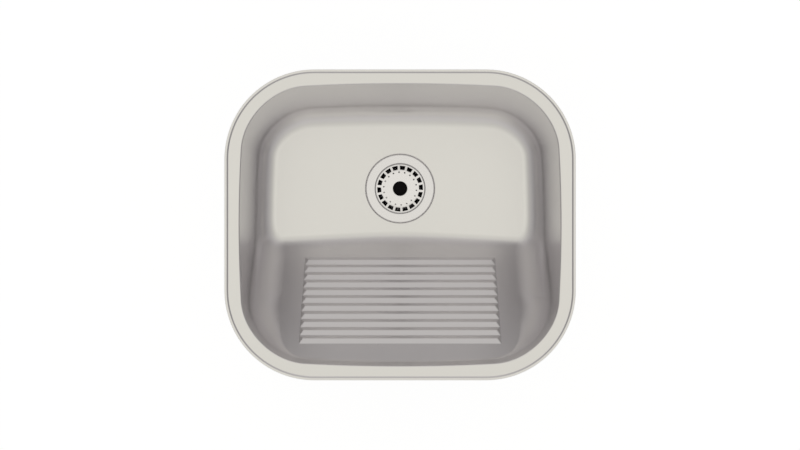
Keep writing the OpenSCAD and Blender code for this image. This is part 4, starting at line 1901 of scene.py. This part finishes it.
@dataclass
class Clip(Assembly):
    """One worktop clip: screw, claw and retaining ring. The brackets and nuts are shared by all four.

    Attributes:
        number: 1 to 4, as in the CAD part.
        x: place along the side.
        side: 1 at the back, -1 at the front.
        y: distance of the screw from the middle.
        depth: depth of the head's upper face.
        socket: half width of the head's hexagon socket.
        thread_run: plain length over the head.
        thread_pitch: climb of one turn.
        thread_depth: depth of the groove.
        ring_rise: height of the ring's underside over the head.
    """

    number: int
    x: float
    side: int
    y: float = 213.8635
    depth: float = 45.0
    screw_r: float = 2.0
    screw_top: float = -10.0
    head_r: float = 3.6
    head_t: float = 3.2
    socket: float = 1.62
    thread_run: float = 3.3
    thread_pitch: float = 0.8
    thread_depth: float = 0.3
    ring_rise: float = 3.05
    ring_r: float = 3.4
    ring_t: float = 1.0
    steps: int = 48

    @property
    def centre(self) -> tuple[float, float]:
        """The screw's axis."""
        return (self.x, self.side * self.y)

    def rings(self, profile: Profile) -> list[Array]:
        """Rings about the screw's axis."""
        return [circle(r, z, self.steps, self.centre) for r, z in profile]

    def screw(self) -> bpy.types.Object:
        """Makes a threaded screw with a socket head at its lower end.

        Returns:
            The new object.
        """
        r, top, head, seat = self.screw_r, self.screw_top, self.head_r, -self.depth
        low = seat - self.head_t
        socket = [(self.socket, low + 2.2), (self.socket, low + 0.2), (self.socket + 0.13, low)]
        rings = self.rings([(0, low + 2.0)])
        rings += [hexagon(flat, z, self.steps, self.centre) for flat, z in socket]
        rings += self.rings(
            [
                (head - 0.5, low), (head - 0.14, low + 0.14), (head, low + 0.5), (head, seat - 0.2),
                (head - 0.2, seat), (r, seat),
            ]
        )
        for ring in self.rings([(r, z) for z in np.arange(seat + 0.15, top - 0.5, 0.15)]):
            start = seat + self.thread_run
            rings.append(threaded(ring, self.centre, start, top, self.thread_pitch, self.thread_depth))
        rings += self.rings([(r - 0.3, top - 0.35), (r - 0.6, top), (0, top)])
        return smooth_edges(loft(f"socket_screw_{self.number}", rings, False), 45)

    def ring(self) -> bpy.types.Object:
        """Makes the push-on ring that keeps the claw on its screw.

        Returns:
            The new object.
        """
        inner, outer, low = self.screw_r, self.ring_r, self.ring_rise - self.depth
        corners = [(inner, low), (outer, low), (outer, low + self.ring_t), (inner, low + self.ring_t)]
        return smooth_edges(loft(f"keeper_ring_{self.number}", self.rings(softened(corners, 0.25)), True))

    def build(self) -> None:
        """Makes the moving pieces of the clip."""
        body = f"screw_{self.number}"
        self.enter(self.screw(), f"clip_screw_{self.number}", body, Slot.ZINC)
        self.enter(self.ring(), f"clip_ring_{self.number}", body, Slot.ZINC)


@dataclass
class Underside(Assembly):
    """Pieces stuck or welded under the sheet: foam seal, damping pads, clip nuts.

    Attributes:
        bowl: the sheet above them.
        clips: the four clips.
        pad_t: thickness of the pads.
        pad_r: radius of their corners.
        glue: thickness of the glue over the floor's pads.
        seal_in: inset of the foam's inner edge from the rim.
        seal_out: inset of its outer edge.
        seal_t: its thickness.
        floor_pad: half width and half depth of each pad under the floor.
        pad_side: distance of these pads from the middle.
        pad_back: how far behind the drain they lie.
        slope_pad_half: half the width of the pad under the washboard.
        nut_z: height of the clip nuts' underside.
        nut_t: their thickness.
        nut_flat: half the width across their flats.
        nut_bore: radius of their bore.
    """

    bowl: Bowl
    clips: Sequence[Clip]
    pad_t: float = 2.5
    pad_r: float = 8.0
    glue: float = 0.25
    seal_in: float = 11.5
    seal_out: float = 7.0
    seal_t: float = 1.6
    floor_pad: tuple[float, float] = (45.0, 55.0)
    pad_side: float = 125.0
    pad_back: float = 15.0
    slope_pad_half: float = 120.0
    nut_z: float = -14.1
    nut_t: float = 3.2
    nut_flat: float = 3.5
    nut_bore: float = 2.06

    def seal(self) -> bpy.types.Object:
        """Makes the foam strip under the flange, just inside the riser.

        Returns:
            The new object.
        """
        near, far, top = self.seal_out, self.seal_in, self.seal_t
        profile = softened([(near, 0.0), (far, 0.0), (far, top), (near, top)], 0.4, 3)
        return smooth_edges(loft("foam_strip", [self.bowl.rim_ring(inset, z) for inset, z in profile], True))

    def pad(self, draft: Draft, half_w: float, half_d: float, place: Callable[[Array, Array], Array]) -> None:
        """Adds one pad with rounded corners and edges.

        Args:
            draft: the mesh that takes the pad.
            half_w: half width.
            half_d: half depth.
            place: turns plan points and heights under the sheet into points of the shared frame.
        """
        outline = Outline(8, 8, 8)

        def ring(inset: float, z: float, share: float = 1.0) -> Array:
            """Adds a ring of the pad.

            Args:
                inset: how far it is drawn in from the outline.
                z: its height under the sheet.
                share: its size as a share of the outline.

            Returns:
                The numbers of its points.
            """
            sizes = (size * share - inset for size in (half_w, half_d, self.pad_r))
            flat = outline.ring(*sizes)
            return draft.add(place(flat, np.full(len(flat), z)))

        low = -self.pad_t
        edge = ((0.5, 0.0), (0.0, -0.5), (0.0, low + 0.6), (0.2, low + 0.2), (0.7, low))
        rings = [ring(inset, z) for inset, z in edge]
        draft.strips(rings)
        for z, outer in ((0.0, rings[0]), (low, rings[-1])):
            face = [outer, *(ring(0.0, z, share) for share in (0.75, 0.5, 0.25))]
            draft.strips([*face, draft.add(place(np.zeros((1, 2)), np.array([z])))])

    def build(self) -> None:
        """Makes the strip, the pads and the nuts."""
        self.enter(self.seal(), "rim_seal", "sink", Slot.FOAM)
        bowl = self.bowl
        under = bowl.sheet_t + self.glue
        draft = Draft()
        for side in (-1, 1):

            def on_floor(flat: Array, z: Array, side: int = side) -> Array:
                """Points at a height under the floor."""
                x, y = flat[:, 0] + side * self.pad_side, flat[:, 1] + DRAIN_Y + self.pad_back
                return np.column_stack([x, y, bowl.basin(x, y) - under + z])

            self.pad(draft, *self.floor_pad, on_floor)
        self.enter(smooth_edges(draft.object("floor_damping_pads")), "floor_pads", "sink", Slot.DAMPING)
        draft = Draft()
        length = bowl.rib_pitch * (bowl.rib_count - 2)
        middle = -bowl.rib_pitch * (bowl.rib_count - 1) + length / 2

        def on_slope(flat: Array, z: Array) -> Array:
            """Points at a height under the slope."""
            return bowl.on_slope(flat[:, 0], flat[:, 1] + middle, z - bowl.sheet_t)

        self.pad(draft, self.slope_pad_half, length / 2, on_slope)
        self.enter(smooth_edges(draft.object("slope_damping_pad")), "slope_pad", "sink", Slot.DAMPING)
        self.nuts()

    def nuts(self) -> None:
        """Makes the four clip nuts as one piece."""
        joined = bmesh.new()
        for clip in self.clips:
            turn = math.radians(90 * clip.side + 30)
            shape = (self.nut_z, self.nut_t, self.nut_flat, self.nut_bore, turn)
            nut = frozen(hex_nut(f"nut_{clip.number}", clip.centre, *shape))
            joined.from_mesh(nut.data)
            bpy.data.objects.remove(nut)
        mesh = bpy.data.meshes.new("clip_hex_nuts")
        joined.to_mesh(mesh)
        joined.free()
        nuts = bpy.data.objects.new("clip_hex_nuts", mesh)
        bpy.context.scene.collection.objects.link(nuts)
        self.enter(smooth_edges(nuts, 30), "clip_nuts", "sink", Slot.ZINC)


@dataclass
class Carried(Assembly):
    """CAD nodes that stay in view with softened edges and a finish of their own.

    Attributes:
        frame: what the frame's loader gave.
        nodes: the finish of each node.
        edge: width of the softened edges.
    """

    frame: dict[str, Any]
    nodes: dict[str, Slot]
    edge: float = 0.35

    def build(self) -> None:
        """Dresses each node."""
        for name, slot in self.nodes.items():
            obj = self.frame["nodes"][name]
            self.dress(obj, slot)
            weld = obj.modifiers.new("weld", "WELD")
            weld.merge_threshold = 0.000002
            bevel = obj.modifiers.new("edges", "BEVEL")
            bevel.width = self.edge * MM
            bevel.segments = 2
            bevel.limit_method = "ANGLE"
            bevel.angle_limit = math.radians(50)
            bevel.harden_normals = True
            LOG.info("%s: kept from the CAD part as %s", name, slot.value)


@dataclass
class Studio:
    """Pale floor and a soft sky, with the camera straight over the rim.

    Attributes:
        floor_z: height of the floor, in metres.
        floor_half: half its width, in millimetres.
        glow: brightness that the floor shows to the camera.
        glow_share: share of that glow in the floor's look.
        camera_z: height of the camera, in metres.
        lens: its focal length.
        shift_x: its sideways shift, as a share of the picture's width.
        shift_y: its upward shift, as a share of the picture's width.
        warm: colour of the sky's light overhead.
        cool: colour of its light low down.
        sky: the sine of the angle from overhead, and the brightness there to the sides, back and front.
    """

    floor_z: float
    floor_half: float = 3000.0
    glow: float = 1.09
    glow_share: float = 0.86
    camera_z: float = 1.813
    lens: float = 55.1
    shift_x: float = -0.1 / 800
    shift_y: float = -0.15 / 800
    warm: tuple[float, float, float] = (1.04, 1.027, 0.933)
    cool: tuple[float, float, float] = (1.03, 1.0, 0.985)
    sky: tuple[tuple[float, tuple[float, float, float]], ...] = (
        (0.0, (0.84, 0.84, 0.84)),
        (0.15, (0.89, 0.755, 0.75)),
        (0.3, (0.88, 0.71, 0.685)),
        (0.45, (0.66, 0.70, 0.64)),
        (0.6, (0.48, 0.755, 0.58)),
        (0.8, (0.42, 0.58, 0.66)),
        (1.0, (0.24, 0.35, 0.47)),
    )

    @staticmethod
    def seen(graph: Graph) -> Num:
        """1 on rays that start at the camera, else 0."""
        return graph.number(graph.node("ShaderNodeLightPath").outputs["Is Camera Ray"])

    def floor(self) -> None:
        """Makes a wide pale floor, a little lighter to the camera, that still takes the sink's shadow."""
        draft = Draft()
        edge = np.linspace(-self.floor_half, self.floor_half, 13)
        x, y = np.meshgrid(edge, edge)
        points = np.column_stack([x.ravel(), y.ravel(), np.full(x.size, self.floor_z / MM)])
        grid = draft.add(points, np.tile([0.0, 0.0, 1.0], (x.size, 1))).reshape(x.shape)
        draft.strips(grid, closed=False)
        floor = draft.object("studio_floor")
        material = bpy.data.materials.new("studio_paper")
        graph = Graph.of(material)
        color = graph.blend(graph.noise(graph.place(), 35.0, 3.0), (0.86, 0.86, 0.86), (0.9, 0.9, 0.9))
        matt = graph.node("ShaderNodeBsdfDiffuse", None, {"Color": color}).outputs[0]
        light = {"Color": (1.0, 1.0, 1.0, 1.0), "Strength": self.glow}
        glow = graph.node("ShaderNodeEmission", None, light).outputs[0]
        share = self.seen(graph) * self.glow_share
        mixed = graph.node("ShaderNodeMixShader", None, {0: share, 1: matt, 2: glow})
        graph.node("ShaderNodeOutputMaterial", None, {"Surface": mixed.outputs[0]})
        floor.data.materials.append(material)
        floor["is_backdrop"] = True

    def world(self) -> None:
        """Makes the sky from its brightness to the sides, the back and the front; the camera sees white."""
        world = bpy.data.worlds.new("soft_sky")
        bpy.context.scene.world = world
        graph = Graph.of(world)
        x, y, _ = graph.axes(graph.node("ShaderNodeTexCoord").outputs["Generated"])
        level = x * x + y * y + 1e-9
        ramp = graph.node("ShaderNodeValToRGB", {"stops": self.sky}, {"Fac": level.math("SQRT", level)})
        side, back, front = graph.channels(ramp.outputs["Color"])
        behind = y.math("GREATER_THAN", y, 0.0)
        share = x * x / level
        strength = side * share + (1.0 - share) * (front + behind * (back - front))
        seen = self.seen(graph)
        tint = graph.blend(seen, graph.blend(level.step(0.2, 0.7), self.warm, self.cool), (1.0, 1.0, 1.0))
        light = {"Color": tint, "Strength": strength + seen * (1.0 - strength)}
        shader = graph.node("ShaderNodeBackground", None, light)
        graph.node("ShaderNodeOutputWorld", None, {"Surface": shader.outputs[0]})

    def camera(self) -> None:
        """Sets the camera straight over the centre of the rim."""
        data = bpy.data.cameras.new("main")
        data.lens = self.lens
        data.sensor_width = 36.0
        data.clip_start = 0.01
        data.shift_x = self.shift_x
        data.shift_y = self.shift_y
        camera = bpy.data.objects.new("main", data)
        camera.location = (0.0, 0.0, self.camera_z)
        bpy.context.scene.collection.objects.link(camera)
        bpy.context.scene.camera = camera

    def build(self) -> None:
        """Sets up the stage."""
        self.floor()
        self.world()
        self.camera()
        bpy.context.scene.view_settings.view_transform = "Standard"


def main() -> None:
    """Builds the sink round the frame and the studio round the sink."""
    logging.basicConfig(level=logging.INFO, format="%(message)s")
    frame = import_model()
    cad_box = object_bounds()
    Studio(floor_z=cad_box[0][2] - FLOOR_GAP).build()
    bowl = Bowl()
    clips = [Clip(1, 100.0, 1), Clip(2, -100.0, 1), Clip(3, 100.0, -1), Clip(4, -100.0, -1)]
    carried = {"clip_brackets": Slot.GALVANISED}
    carried.update({f"clip_claw_{clip.number}": Slot.GALVANISED for clip in clips})
    for part in [bowl, Drain(), Basket(), Plug(), *clips, Underside(bowl, clips), Carried(frame, carried)]:
        part.build()


if __name__ == "__main__":
    main()
